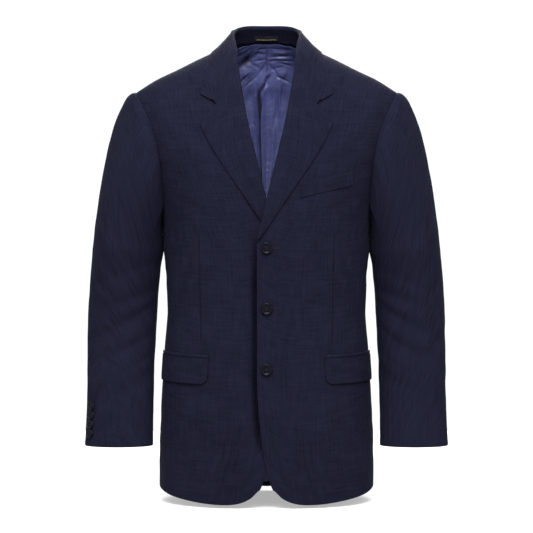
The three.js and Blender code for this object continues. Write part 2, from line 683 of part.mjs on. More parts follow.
// One row of the left half of the collar, from the neck seam over the fold to the edge of the fall
function collarRow(at) {
  const col = (name) => read(COLLAR, 'at', at, name);
  const radius = (COLLAR_PUFF + CLOTH) / 2;
  const lift = (column) => flatLift(COLLAR_PUFF, column, mix(COLLAR_EDGE_LIFT, EDGE_LIFT, col('lies')));
  const seam = clothOver(col('seamX'), col('seamOver'), -CLOTH);
  const tip = new THREE.Vector3(col('foldX'), col('foldY'), col('foldZ'));
  const middle = clothOver(col('midX'), col('midOver'), lift(MID_COLUMNS));
  const first = foldPoints(seam, tip, middle, radius).pop();
  const start = { x: tip.x + radius, z: mix(tip.z, col('edgeZ'), FOLD_SHARE) };
  const middleZ = CHEST + (ridge(col('midX'), 'z') - CHEST) * Math.sin(radians(col('midOver')));
  const flats = [];
  for (let c = 0; c <= MID_COLUMNS + EDGE_COLUMNS; c += 1) {
    const raised = lift(c);
    if (c >= MID_COLUMNS) {
      const t = (c - MID_COLUMNS) / EDGE_COLUMNS;
      const over = mix(col('midOver'), col('edgeOver'), t);
      flats.push(clothOver(mix(col('midX'), col('edgeX'), t), over, raised));
    } else {
      flats.push(first.clone().lerp(middle, c / MID_COLUMNS));
    }
    if (c < MID_COLUMNS && col('lies') > 0) {
      const t = c / MID_COLUMNS;
      const lying = clothAt(1, mix(start.x, col('midX'), t), mix(start.z, middleZ, t), -1, raised).point;
      flats[c].lerp(lying, col('lies'));
    }
  }
  return [seam, ...foldPoints(seam, tip, flats[0], radius).slice(0, -1), ...flats];
}

// The whole collar; at the gorge it takes the lapel's own points, so that the two meet edge to edge
function addCollar() {
  const half = [];
  for (let r = 0; r <= COLLAR_STEPS; r += 1) half.push(collarRow((GORGE * r) / COLLAR_STEPS));
  const gorge = lapelGrid(1)[LAPEL_ROWS];
  const shared = gorge.length - EDGE_COLUMNS;
  for (let c = 0; c < shared; c += 1) half[COLLAR_STEPS][c] = gorge[c].point;
  const mirrored = half.slice(1).map((row) => row.map((p) => new THREE.Vector3(-p.x, p.y, p.z)));
  const grid = faceOut([...mirrored.reverse(), ...half], -1);
  for (let c = 0; c < shared; c += 1) {
    grid[2 * COLLAR_STEPS][c].out = gorge[c].out;
    grid[0][c].out = gorge[c].out.clone().multiply(new THREE.Vector3(-1, 1, 1));
  }
  wall('collar', 1, drawIn(grid), CLOTH, navy);
}

addCollar();

// Lining inside the back, in two halves; the right half has a soft pleat beside the middle

// Seated on the cloth along its outer edge, it stands off elsewhere, and further near the neck
const LINING_ROOM = 1.9;
const NECK_ROOM = { deep: 3, from: -90, to: -30 };
const LINING_SHARES = [0.005, 0.22, 0.44, 0.66, 0.82, 0.895, 0.93, 0.965, 1];
const LINING_START = 1;
const LINING_UP = 9;
const PLEAT = { top: -15, fullBelow: -85, fullAbove: -300, bottom: -420, deep: 7, middle: 0.93, wide: 0.028 };

function addLining(side, word) {
  const rows = backRows(side, LINING_SHARES, -(CLOTH + BLIND_SEAM)).slice(LINING_START);
  rows.forEach((row) => row.forEach((at, c) => {
    const z = at.point.z;
    const room = LINING_ROOM + NECK_ROOM.deep * ease(NECK_ROOM.from, NECK_ROOM.to, z);
    if (c > 0) at.point.addScaledVector(at.out, -room);
    if (side > 0) return;
    const length = ease(PLEAT.top, PLEAT.fullBelow, z) * ease(PLEAT.bottom, PLEAT.fullAbove, z);
    const near = Math.exp(-(((LINING_SHARES[c] - PLEAT.middle) / PLEAT.wide) ** 2));
    at.point.addScaledVector(at.out, -PLEAT.deep * near * length);
  }));
  rows[0].forEach((at) => at.point.setZ(at.point.z + LINING_UP));
  wall(`${word}_back_lining`, side, drawIn(rows), LINING, satin);
}

addLining(1, 'left');
addLining(-1, 'right');

// A bare woven label on the inside of the collar stand, at the middle of the back

const LABEL = { width: 42, from: 0.1, to: 0.5, columns: 6, thick: 1 };

function addLabel() {
  const reach = LABEL.width / 2 / COLLAR[1].seamX;
  const rows = [LABEL.from, (LABEL.from + LABEL.to) / 2, LABEL.to].map((share) => {
    const row = [];
    for (let c = 0; c <= LABEL.columns; c += 1) {
      const at = mix(-reach, reach, c / LABEL.columns);
      const [seam, stand] = collarRow(Math.abs(at));
      const point = seam.lerp(stand, share);
      row.push(new THREE.Vector3(point.x * Math.sign(at || 1), point.y, point.z));
    }
    return row;
  });
  const grid = faceOut(rows, 1);
  grid.forEach((row) => row.forEach((at) => at.point.addScaledVector(at.out, BLIND_SEAM + LABEL.thick)));
  wall('neck_label', 1, grid, LABEL.thick, woven);
}

addLabel();

// Pockets: a breast welt on the left front, and a jetting with a flap at each hip

const WELT = { left: 57, right: 147, topLeft: -241, topRight: -217.5, high: 24, lift: 2.2, columns: 6 };

function addWelt() {
  const rows = [0, 0.5, 1].map((up) => {
    const row = [];
    for (let c = 0; c <= WELT.columns; c += 1) {
      const t = c / WELT.columns;
      const top = mix(WELT.topLeft, WELT.topRight, t);
      row.push(clothAt(1, mix(WELT.left, WELT.right, t), top - WELT.high * (1 - up), -1, WELT.lift));
    }
    return row;
  });
  wall('breast_welt', 1, rows, CLOTH, navy);
}

addWelt();

const HIP = { front: -60, side: -4, frontZ: -531, sideZ: -524, deep: 42, corner: 13, flare: 1.2 };
const JETTING = { high: 5.5, lift: 2.4 };
const FLAP_LIFT = 3;
const FLAP_SHARES = [0, 0.03, 0.08, 0.2, 0.36, 0.52, 0.68, 0.84, 0.95, 1];
const FLAP_LENGTH = 150;

// A row along the hip pocket at a drop below its mouth
function pocketRow(side, lift, drop) {
  return FLAP_SHARES.map((share) => {
    const turn = mix(HIP.front, HIP.side, share);
    const z = mix(HIP.frontZ, HIP.sideZ, share) - drop(share);
    return cloth(side, turn, z - CHEST, lift);
  });
}

function addHipPocket(side, word) {
  const rounded = (share, deep) => {
    const fromEnd = Math.min(share, 1 - share) * FLAP_LENGTH;
    const inset = Math.max(HIP.corner - fromEnd, 0);
    return deep - HIP.corner + Math.sqrt(HIP.corner ** 2 - inset ** 2);
  };
  const drops = [1, 0.66, 0.33, 0].map((down) => (share) => SEAM + down * rounded(share, HIP.deep));
  wall(`${word}_flap`, side, drops.map((drop) => pocketRow(side, FLAP_LIFT, drop)), CLOTH, navy);
  const edges = [0, -JETTING.high].map((drop) => () => drop);
  wall(`${word}_jetting`, side, edges.map((drop) => pocketRow(side, JETTING.lift, drop)), CLOTH, navy);
}

addHipPocket(1, 'left');
addHipPocket(-1, 'right');

// Buttons: turned discs with a rounded rim, a dished middle and four sewing holes

const FRONT_BUTTON = { across: 20, thick: 3.6, sides: 20, holeSides: 8 };
const CUFF_BUTTON = { across: 15, thick: 3, sides: 14, holeSides: 5 };

// Rim and dish in section, as shares of the radius and the thickness
const BUTTON_SECTION = [
  { out: 0, up: 0 },
  { out: 0.86, up: 0 },
  { out: 1, up: 0.45 },
  { out: 0.93, up: 0.95 },
  { out: 0.78, up: 1 },
  { out: 0.6, up: 0.66 },
  { out: 0, up: 0.6 },
];
const HOLE = { spread: 0.17, across: 0.11 };

function solid(geometry) {
  geometry.deleteAttribute('normal');
  geometry.deleteAttribute('uv');
  const merged = mergeVertices(geometry);
  return new wasm.Manifold(new wasm.Mesh({
    numProp: 3,
    vertProperties: merged.attributes.position.array,
    triVerts: merged.index.array,
  }));
}

function buttonGeometry(size) {
  const radius = size.across / 2;
  const section = BUTTON_SECTION.map((p) => new THREE.Vector2(p.out * radius, p.up * size.thick));
  let button = solid(new THREE.LatheGeometry(section, size.sides));
  const bore = HOLE.across * radius;
  const spread = HOLE.spread * size.across;
  for (const [x, z] of [[1, 1], [1, -1], [-1, 1], [-1, -1]]) {
    const drill = new THREE.CylinderGeometry(bore, bore, 3 * size.thick, size.holeSides);
    drill.translate(x * spread, 0, z * spread);
    button = button.subtract(solid(drill));
  }
  const drilled = button.getMesh();
  const geometry = new THREE.BufferGeometry();
  geometry.setAttribute('position', new THREE.BufferAttribute(drilled.vertProperties, 3));
  geometry.setIndex(new THREE.BufferAttribute(drilled.triVerts, 1));
  geometry.computeVertexNormals();
  return geometry;
}

function addButton(name, geometry, point, out) {
  const mesh = new THREE.Mesh(geometry, horn);
  mesh.name = name;
  mesh.position.copy(point);
  mesh.quaternion.setFromUnitVectors(new THREE.Vector3(0, 1, 0), out);
  jacket.add(mesh);
}

const FRONT_BUTTONS = { top: -348, apart: 102, count: 3, seat: 0.9 };
const frontButton = buttonGeometry(FRONT_BUTTON);
for (let i = 0; i < FRONT_BUTTONS.count; i += 1) {
  const z = FRONT_BUTTONS.top - i * FRONT_BUTTONS.apart;
  const at = clothAt(1, 0.01, z, -1, FRONT_BUTTONS.seat);
  addButton(`front_button_${i + 1}`, frontButton, at.point, at.out);
}

// Four buttons in a row beside each cuff opening, just in front of the hind seam
const CUFF_BUTTONS = { bottom: -666, apart: 15.6, count: 4, fromSeam: 11, seat: 0.82 };
const cuffButton = buttonGeometry(CUFF_BUTTON);
const hindRound = (word, z) => roundAt(HIND_SEAM) + turned(word, z) - 360;

function addCuffButtons(side, word) {
  for (let i = 0; i < CUFF_BUTTONS.count; i += 1) {
    const z = CUFF_BUTTONS.bottom + i * CUFF_BUTTONS.apart;
    const round = hindRound(word, z) + CUFF_BUTTONS.fromSeam;
    const point = ringPoint(round, z);
    const along = ringPoint(round + 1, z).sub(ringPoint(round - 1, z));
    const up = ringPoint(round, z + 1).sub(ringPoint(round, z - 1));
    const out = up.cross(along).normalize();
    point.addScaledVector(out, CUFF_BUTTONS.seat);
    point.x *= side;
    out.x *= side;
    addButton(`${word}_cuff_button_${i + 1}`, cuffButton, point, out);
  }
}

addCuffButtons(1, 'left');
addCuffButtons(-1, 'right');

export default jacket;
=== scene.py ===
# A navy linen suit jacket with three buttons, filled out as if worn, open at the neck, hem and cuffs.
# Points are worked out in millimetres on the jacket's body form, and meshes are written in metres.
# +Z is up, the front faces -Y, and the wearer's left side is +X.
import math

import bpy
import numpy as np
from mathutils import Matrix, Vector


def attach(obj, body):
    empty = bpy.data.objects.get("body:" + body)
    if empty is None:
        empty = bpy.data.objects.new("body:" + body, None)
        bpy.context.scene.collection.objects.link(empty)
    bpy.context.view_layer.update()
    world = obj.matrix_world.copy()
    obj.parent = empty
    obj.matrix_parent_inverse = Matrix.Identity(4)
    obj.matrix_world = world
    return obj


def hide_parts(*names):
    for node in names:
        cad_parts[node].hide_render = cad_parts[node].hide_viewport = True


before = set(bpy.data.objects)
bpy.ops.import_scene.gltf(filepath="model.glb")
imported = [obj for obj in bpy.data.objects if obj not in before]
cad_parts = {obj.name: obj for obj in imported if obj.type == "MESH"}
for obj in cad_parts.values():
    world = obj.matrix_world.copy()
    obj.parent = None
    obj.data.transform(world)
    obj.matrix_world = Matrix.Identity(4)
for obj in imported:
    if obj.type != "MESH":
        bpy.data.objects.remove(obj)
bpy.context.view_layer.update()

# Camera
# The jacket is seen straight on from three metres, level with its middle.
DISTANCE = 3.0
EYE_LEVEL = -0.379
FOCAL = 115.79


def add_item(name, data):
    """Adds an object with its data to the scene."""
    item = bpy.data.objects.new(name, data)
    bpy.context.collection.objects.link(item)
    return item


camera = add_item("camera", bpy.data.cameras.new("camera"))
camera.location = (0, -DISTANCE, EYE_LEVEL)
camera.rotation_euler = (math.radians(90), 0, 0)
camera.data.lens = FOCAL
camera.data.sensor_width = 36
bpy.context.scene.camera = camera

# Studio
# The jacket hangs just over a small white floor that is lit a little from below, in a white surround.
# Most of the light comes from high in front, so that the cloth darkens towards its sides and hem.
FLOOR = -0.786
FLOOR_REACH = {"x": 2.2, "front": -1.6, "back": 1.25}
FLOOR_WHITE = 0.34
GLOW = 0.4
SURROUND = 1.06
LAMPS = [
    {"name": "high_lamp", "place": (0.0, -1.9, 1.75), "aim": (0.0, 0.0, -0.3), "size": 2.2, "watts": 312},
    {"name": "left_lamp", "place": (-2.3, -2.0, 0.5), "aim": (0.0, 0.0, -0.4), "size": 1.6, "watts": 18},
    {"name": "right_lamp", "place": (2.3, -2.0, 0.4), "aim": (0.0, 0.0, -0.4), "size": 1.6, "watts": 16},
    {"name": "back_lamp", "place": (0.0, 2.6, 1.1), "aim": (0.0, 0.0, -0.3), "size": 1.8, "watts": 200},
]


def aim(item, place, target):
    """Puts an item somewhere, looking at a target."""
    way = Vector(target) - Vector(place)
    item.location = place
    item.rotation_euler = way.to_track_quat("-Z", "Y").to_euler()


def add_lamp(name, place, aim_at, size, watts):
    """Adds a square soft lamp."""
    light = bpy.data.lights.new(name, "AREA")
    light.size = size
    light.energy = watts
    aim(add_item(name, light), place, aim_at)


for lamp in LAMPS:
    add_lamp(lamp["name"], lamp["place"], lamp["aim"], lamp["size"], lamp["watts"])

world = bpy.data.worlds.new("surround")
world.use_nodes = True
background = world.node_tree.nodes["Background"]
background.inputs["Color"].default_value = (1, 1, 1, 1)
background.inputs["Strength"].default_value = SURROUND
bpy.context.scene.world = world
bpy.context.scene.view_settings.view_transform = "Standard"

floor_mesh = bpy.data.meshes.new("floor")
floor_corners = [(x * FLOOR_REACH["x"], FLOOR_REACH[y], FLOOR)
                 for x, y in ((-1, "front"), (1, "front"), (1, "back"), (-1, "back"))]
floor_mesh.from_pydata(floor_corners, [], [(0, 1, 2, 3)])
floor = add_item("floor", floor_mesh)
floor_paint = bpy.data.materials.new("floor_paint")
floor_paint.use_nodes = True
floor_shader = floor_paint.node_tree.nodes["Principled BSDF"]
floor_shader.inputs["Base Color"].default_value = (FLOOR_WHITE, FLOOR_WHITE, FLOOR_WHITE, 1)
floor_shader.inputs["Roughness"].default_value = 0.9
floor_shader.inputs["Specular IOR Level"].default_value = 0.0
floor_shader.inputs["Emission Color"].default_value = (1, 1, 1, 1)
floor_shader.inputs["Emission Strength"].default_value = GLOW
floor_mesh.materials.append(floor_paint)

# Fronts
# Each front is one piece of navy linen from the shoulder to the rounded corner of the hem, with a small dart.
# It is canvassed and pressed, so it lies nearly smooth. Its edges turn in, and the left laps over the right.
MM = 0.001
CLOTH = 1.6
SEAM = 0.3
BLIND_SEAM = 0.5
SIDES = ((1, "left"), (-1, "right"))


def table(names, *rows):
    """A table with named columns, read along its first one."""
    columns = dict(zip(names.split(), np.array(rows, dtype=float).T))
    columns["by"] = names.split()[0]
    return columns


def mix(a, b, share):
    return a + (b - a) * share


def ease(start, end, at):
    """0 before start, 1 after end and a soft step between them."""
    share = np.clip((np.asarray(at, dtype=float) - start) / (end - start), 0, 1)
    return share * share * (3 - 2 * share)


def read(rows, at, column):
    """One column of a table as a smooth curve through its rows."""
    keys, values = rows[rows["by"]], rows[column]
    last = len(keys) - 1
    i = np.clip(np.searchsorted(keys, at, side="left") - 1, 0, last - 1)
    span = keys[i + 1] - keys[i]

    def slope(k):
        low, high = np.maximum(k - 1, 0), np.minimum(k + 1, last)
        return (values[high] - values[low]) / (keys[high] - keys[low]) * span

    t = np.clip((at - keys[i]) / span, 0, 1)
    bend = slope(i) * t * (1 - t) ** 2 - slope(i + 1) * t * t * (1 - t)
    return values[i] + (values[i + 1] - values[i]) * t * t * (3 - 2 * t) + bend


# The body form under the cloth: half width and depths of its sections, by millimetres above the chest
CHEST = -200
RISE = 140
SQUARE = 2.3
FRONT_ROUND = 1.1
BACK_ROUND = 0.6
BODY = table(
    "level side front back",
    (-600, 186, 128, 124), (-500, 187, 129, 124), (-413, 183.4, 130, 121), (-325, 178, 129, 114),
    (-255, 173.3, 127, 106), (-167, 177.5, 133, 112), (-105, 180.5, 137, 121), (-50, 190, 139, 127),
    (0, 205, 138, 130), (37, 222, 138, 130), (82, 238, 138, 130), (RISE, 245, 138, 130),
)
RIDGE = table(
    "x z y",
    (0, 46, 0), (20, 45, 0), (40, 38, 0), (60, 20, 1), (78, 3, 2),
    (95, -5.5, 2.5), (121, -17.6, 3), (156, -35, 4), (193, -52.6, 4.5), (229, -75, 5),
)


def points(x, y, z):
    return np.stack(np.broadcast_arrays(x, y, z), axis=-1).astype(float)


def unit(ways):
    return ways / np.maximum(np.linalg.norm(ways, axis=-1, keepdims=True), 1e-9)


def form(turn, level):
    """A point of the body form; turn is -90 at the middle of the front and 90 at the middle of the back."""
    turn, level = np.broadcast_arrays(np.asarray(turn, dtype=float), np.asarray(level, dtype=float))
    across = np.cos(np.radians(turn))
    x = read(BODY, level, "side") * np.sign(across) * np.abs(across) ** (2 / SQUARE)
    reach = np.where(turn < 0, -read(BODY, level, "front"), read(BODY, level, "back"))
    y = reach * np.abs(np.sin(np.radians(turn))) ** (2 / SQUARE)
    roll = np.clip(level / RISE, 0, 1) * math.pi / 2
    kept = np.maximum(np.cos(roll), 0) ** np.where(turn < 0, FRONT_ROUND, BACK_ROUND)
    top = read(RIDGE, np.abs(x), "z")
    arch = np.sin(roll)
    over = points(x, y * kept + read(RIDGE, np.abs(x), "y") * arch, CHEST + (top - CHEST) * arch)
    return np.where((level <= 0)[..., None], points(x, y, CHEST + level), over)


def facing(turn, level):
    """The way that the body form faces at a turn and a level."""
    inside = np.minimum(level, RISE - 1)
    along = form(turn + 0.2, inside) - form(turn - 0.2, inside)
    upward = form(turn, inside + 0.5) - form(turn, inside - 0.5)
    return unit(np.cross(along, upward))


def place(x, z, face):
    """The turn and level of the form's point at a width and height, on its front (-1) or back (1)."""
    x, z = np.broadcast_arrays(np.asarray(x, dtype=float), np.asarray(z, dtype=float))
    above = np.clip((z - CHEST) / (read(RIDGE, np.abs(x), "z") - CHEST), 0, 1)
    level = np.where(z > CHEST, np.arcsin(above) / (math.pi / 2) * RISE, z - CHEST)
    share = np.minimum(np.abs(x) / read(BODY, level, "side"), 1)
    turn = np.degrees(np.arccos(share ** (SQUARE / 2) * np.where(x < 0, -1, 1)))
    return turn * face, level


# How far the left front stands out and the right front lies in where they lap
LAP = table(
    "z over under",
    (-790, 1.3, 1.3), (-400, 1.3, 1.3), (-340, 3.9, 3.1), (-300, 4.8, 3.6),
    (-262, 4.2, 3.2), (-222, 0.6, 0.6), (-190, 0, 0),
)
LAP_FULL = 19
LAP_ENDS = 46


def lap(side, x, z):
    """How far a front lies out (left) or in (right) of the form where the two lap."""
    amount = read(LAP, z, "over") if side > 0 else -read(LAP, z, "under")
    return np.where(z > LAP["z"][-1], 0, amount * (1 - ease(LAP_FULL, LAP_ENDS, x)))


def cloth(side, turn, level, raised=0.0):
    """Points of the cloth on one side of the jacket and the ways that they face."""
    out = facing(turn, level)
    at = form(turn, level)
    rise = np.where(np.asarray(turn) < 0, raised + lap(side, at[..., 0], at[..., 2]), raised)
    return at + out * rise[..., None], out


def cloth_at(side, x, z, face, raised=0.0):
    """The same by width and height, on the front (-1) or the back (1) of the jacket."""
    return cloth(side, *place(x, z, face), raised)


# The lines that the panels are cut along, by turn, by height or by the share of the way up
HEM = table(
    "turn z",
    (-96, -753), (-88, -754), (-84, -768), (-79, -776.5), (-72, -780),
    (-60, -779), (-35, -771.5), (0, -760), (35, -767), (90, -779),
)
UNDERARM = table(
    "turn z",
    (-96, -312), (-60, -300), (-19, -275), (-10, -295), (0, -305),
    (10, -303), (20, -291), (30, -268), (60, -272), (90, -276),
)
SIDE_SEAMS = table("up front back", (0, -25, 40), (0.4, -24, 38), (0.7, -22, 36), (1, -19, 30))
FRONT_EDGE = table(
    "z x",
    (-753, 11), (-746, 7.5), (-720, 0), (-690, -6.2), (-651, -10.5),
    (-617, -13.7), (-585, -15.6), (-545, -16), (-338, -16),
)
LAPEL_FOOT = -337
LAPEL = table(
    "z x puff edge_x edge_z",
    (-334, -16, 4.4, -9, -331), (-316, -12, 4.5, 11, -301), (-287, -5, 4.6, 37, -262),
    (-250, 3.5, 5, 55, -236), (-195, 17, 6, 76, -205), (-125, 33, 7, 96, -172), (-36, 47.5, 8, 112.5, -138),
)
NECK_X = 74
ROLL_TOP = -36
FOLD_ROOM = 2
COLLAR_SEAM = (65, -17)
ARMHOLE_FRONT = table(
    "along x z",
    (0, 176.1, -275), (0.12, 177.3, -249), (0.28, 179.5, -218), (0.45, 185, -183),
    (0.6, 193, -153), (0.76, 203.5, -124), (0.89, 215.5, -99), (1, 229, -74),
)
# Where the rows between the underarm and the shoulder lie along an armhole
ALONG = (0, 0.14, 0.28, 0.42, 0.56, 0.69, 0.8, 0.89, 0.955, 1)
ARMHOLE_STEPS = len(ALONG) - 1


def fold_radius(z):
    return (read(LAPEL, z, "puff") + CLOTH) / 2


def armhole(rows, face, step):
    """Turn and level along an armhole, counted in steps from the underarm to the shoulder."""
    along = np.interp(step, range(ARMHOLE_STEPS + 1), ALONG)
    shoulder = rows["x"][-1]
    turn, level = place(read(rows, along, "x"), read(rows, along, "z"), face)
    end_turn, end_level = place(shoulder, read(RIDGE, shoulder, "z"), face)
    return np.where(along >= 1, end_turn, turn), np.where(along >= 1, end_level, level)


def height_at(turn, up):
    return mix(read(HEM, turn, "z"), read(UNDERARM, turn, "z"), up)


def front_edge(z):
    above = read(LAPEL, z, "x") + fold_radius(z) + FOLD_ROOM + BLIND_SEAM
    return np.where(z < LAPEL_FOOT, read(FRONT_EDGE, z, "x"), above)


def edge_turn(up):
    z = height_at(np.full_like(up, -90.0), up)
    return place(front_edge(z), z, -1)[0]


def front_inner_spot(step):
    """Where a front's inner edge runs above the underarm: along the roll line, then the neck seam."""
    gorge_step = ARMHOLE_STEPS - 2
    z = mix(float(read(UNDERARM, -92.0, "z")), ROLL_TOP, np.minimum(step / gorge_step, 1))
    turn, level = place(front_edge(z), z, -1)
    corners = [place(front_edge(np.float64(ROLL_TOP)), ROLL_TOP, -1), place(*COLLAR_SEAM, -1),
               place(NECK_X, read(RIDGE, NECK_X, "z"), -1)]
    steps = (gorge_step, ARMHOLE_STEPS - 1, ARMHOLE_STEPS)
    high = step > gorge_step
    turn = np.where(high, np.interp(step, steps, [float(c[0]) for c in corners]), turn)
    return turn, np.where(high, np.interp(step, steps, [float(c[1]) for c in corners]), level)


def shares(length, pitch, edge=(0.5, 1.1, 2.0, 3.5)):
    """Even shares of a length, closer together near its ends, where cloth turns in to a seam or an edge."""
    inner = np.linspace(edge[-1] + pitch, length - edge[-1] - pitch, max(int(length / pitch) - 2, 2))
    ends = np.array((0,) + edge)
    return np.concatenate((ends, inner, (length - ends)[::-1])) / length


def lower_spots(from_turn, to_turn, ups, across):
    """Turns and levels of a panel's rows below the underarm."""
    turn = mix(from_turn(ups)[:, None], to_turn(ups)[:, None], across[None, :])
    return turn, height_at(turn, ups[:, None]) - CHEST


def upper_spots(inner, outer, across):
    """Turns and levels of rows that run from an inner edge to an armhole."""
    turn = mix(inner[0][:, None], outer[0][:, None], across[None, :])
    return turn, mix(inner[1][:, None], outer[1][:, None], across[None, :])


# Soft dents (deep above 0) and swells, by width and height, on one side of the jacket or on both (side 0).
# angle turns a fold's long way from level. The deep ones near x 20 are a trough beside the left front's edge.
FRONT_FOLDS = table(
    "x z long wide angle deep side",
    (150, -330, 22, 90, 4, 1.6, 0), (140, -470, 20, 80, -4, 1.2, 0), (70, -420, 26, 90, 0, -0.8, 0),
    (96, -600, 46, 11, 24, 1.1, -1), (60, -625, 40, 9, -18, 0.8, -1), (126, -655, 40, 10, 34, 1.0, -1),
    (82, -690, 52, 12, -12, 0.9, -1), (44, -560, 30, 8, 14, 0.6, -1), (150, -720, 36, 12, 30, 0.9, -1),
    (60, -600, 44, 10, -26, 0.9, 1), (118, -628, 48, 11, 20, 0.9, 1), (88, -668, 40, 9, -8, 0.8, 1),
    (140, -700, 38, 11, -28, 1.0, 1), (40, -705, 34, 9, 20, 0.7, 1), (56, -520, 34, 9, -14, 0.5, 1),
    (120, -150, 60, 20, 38, 0.9, -1), (132, -190, 50, 15, 30, 0.8, 1), (150, -235, 34, 12, -36, 0.9, -1),
    (150, -262, 36, 12, -30, 0.9, 1), (70, -360, 44, 12, 10, 0.6, -1), (52, -395, 36, 10, -12, 0.5, 1),
    (19, -460, 160, 6.5, 90, 8, -1), (31, -480, 180, 9, 90, 1.0, -1),
    (16.5, -600, 60, 6, 87, 4, -1), (10.5, -672, 50, 6, 82.6, 6.5, -1),
    (36, -430, 18, 26, 0, 0.7, -1), (38, -480, 18, 24, 0, 0.6, -1), (90, -440, 40, 12, 16, 0.6, 1),
)


def folds_on(folds, side):
    """The rows of a table of folds that one side of the jacket has."""
    return [k for k in range(len(folds["side"])) if folds["side"][k] * side >= 0]


def dent(folds, k, along, across):
    """How deep one fold is at a distance along it and across it."""
    return folds["deep"][k] * np.exp(-((along / folds["long"][k]) ** 2) - (across / folds["wide"][k]) ** 2)


def dents(folds, side, x, z):
    """How far a table of folds moves the cloth in at each width and height."""
    depth = np.zeros(np.broadcast(x, z).shape)
    for k in folds_on(folds, side):
        lean = math.radians(folds["angle"][k])
        dx, dz = x - folds["x"][k], z - folds["z"][k]
        along = dx * math.cos(lean) + dz * math.sin(lean)
        depth += dent(folds, k, along, dz * math.cos(lean) - dx * math.sin(lean))
    return depth


# The waves come in pairs that cross at a right angle, the second one weaker and closer together
WAVES = {"pairs": 7, "shortest": 0.7, "longest": 1.6, "cross_share": 0.5, "cross_pitch": 1.7, "even_out": 5}


def ripple(u, v, uneven, side=0):
    """Shallow unevenness of pressed cloth from a few crossing waves: how far apart, how deep, and a seed."""
    spread = np.random.default_rng(uneven["seed"] + side)
    total = np.zeros(np.broadcast(u, v).shape)
    for _ in range(WAVES["pairs"]):
        lean = spread.uniform(0, math.pi)
        phase = spread.uniform(0, 2 * math.pi)
        wave = 2 * math.pi / (uneven["apart"] * spread.uniform(WAVES["shortest"], WAVES["longest"]))
        across = (u * math.sin(lean) - v * math.cos(lean)) * wave * WAVES["cross_pitch"]
        total += np.sin((u * math.cos(lean) + v * math.sin(lean)) * wave + phase)
        total += WAVES["cross_share"] * np.sin(across + phase * 2)
    return total * uneven["deep"] / WAVES["even_out"]


EDGE_ROUND = {"deep": 0.75, "reach": 2.2}


def turned_in(distance, deep=EDGE_ROUND["deep"], reach=EDGE_ROUND["reach"]):
    """How far cloth rolls in close to a seam or a pressed edge."""
    return deep * (1 - np.sqrt(np.clip(1 - (1 - np.clip(distance / reach, 0, 1)) ** 2, 0, 1)))


def lengths(at, axis):
    """Distances along a grid from its first row or column."""
    steps = np.linalg.norm(np.diff(at, axis=axis), axis=-1)
    start = np.zeros_like(np.take(at[..., 0], [0], axis=axis))
    return np.concatenate((start, np.cumsum(steps, axis=axis)), axis=axis)


def edge_distance(at, left=True, right=True, low=True, high=True):
    """The distance of each point of a grid from the nearest of the edges named."""
    u, v = lengths(at, 1), lengths(at, 0)
    far = np.full(u.shape, 1e3)
    for use, distance in ((left, u), (right, u[:, -1:] - u), (low, v), (high, v[-1:, :] - v)):
        if use:
            far = np.minimum(far, distance)
    return far


def smooth(mesh, sharp_over=180):
    """Shades a mesh smoothly, except over edges that turn by more than an angle."""
    mesh.polygons.foreach_set("use_smooth", [True] * len(mesh.polygons))
    if sharp_over < 180:
        mesh.set_sharp_from_angle(angle=math.radians(sharp_over))


def shell(name, side, at, out, thickness, weave_start=(0, 0), crease_shade=0):
    """A closed piece of cloth from a grid of outer points; side -1 mirrors it to the jacket's right.

    weave_start is where on the roll it is cut, so that no two pieces show the same slubs. The last argument
    is 1 where the cloth lies deep in a fold, and the material darkens its colour there as painted shade.
    """
    rows, columns = at.shape[:2]
    thick = np.broadcast_to(np.asarray(thickness, dtype=float), (rows, columns))
    inner = at - out * thick[..., None]
    vertices = np.concatenate((at.reshape(-1, 3), inner.reshape(-1, 3))) * (side, 1, 1) * MM
    index = np.arange(rows * columns).reshape(rows, columns)
    quads = np.stack((index[:-1, :-1], index[:-1, 1:], index[1:, 1:], index[1:, :-1]), axis=-1).reshape(-1, 4)
    back = quads[:, ::-1] + rows * columns
    ring = np.concatenate((index[0, :-1], index[:-1, -1], index[-1, :0:-1], index[:0:-1, 0]))
    following = np.roll(ring, -1)
    rim = np.stack((following, ring, ring + rows * columns, following + rows * columns), axis=-1)
    faces = np.concatenate((quads, back, rim))
    across, upward = at[0, 1] - at[0, 0], at[1, 0] - at[0, 0]
    if np.dot(np.cross(across, upward), out[0, 0]) * side < 0:
        faces = faces[:, ::-1]
    mesh = bpy.data.meshes.new(name)
    mesh.from_pydata(vertices.tolist(), [], faces.tolist())
    u, v = lengths(at, 1) + weave_start[0], lengths(at, 0) + weave_start[1]
    weave = np.tile(np.stack((u, v), axis=-1).reshape(-1, 2) * MM, (2, 1))
    layer = mesh.uv_layers.new(name="weave")
    layer.data.foreach_set("uv", weave[faces.reshape(-1)].reshape(-1))
    depth = np.tile(np.broadcast_to(np.asarray(crease_shade, dtype=float), (rows, columns)).reshape(-1), 2)
    mesh.attributes.new("crease_shade", "FLOAT", "POINT").data.foreach_set("value", depth)
    smooth(mesh, 55)
    return add_item(name, mesh)


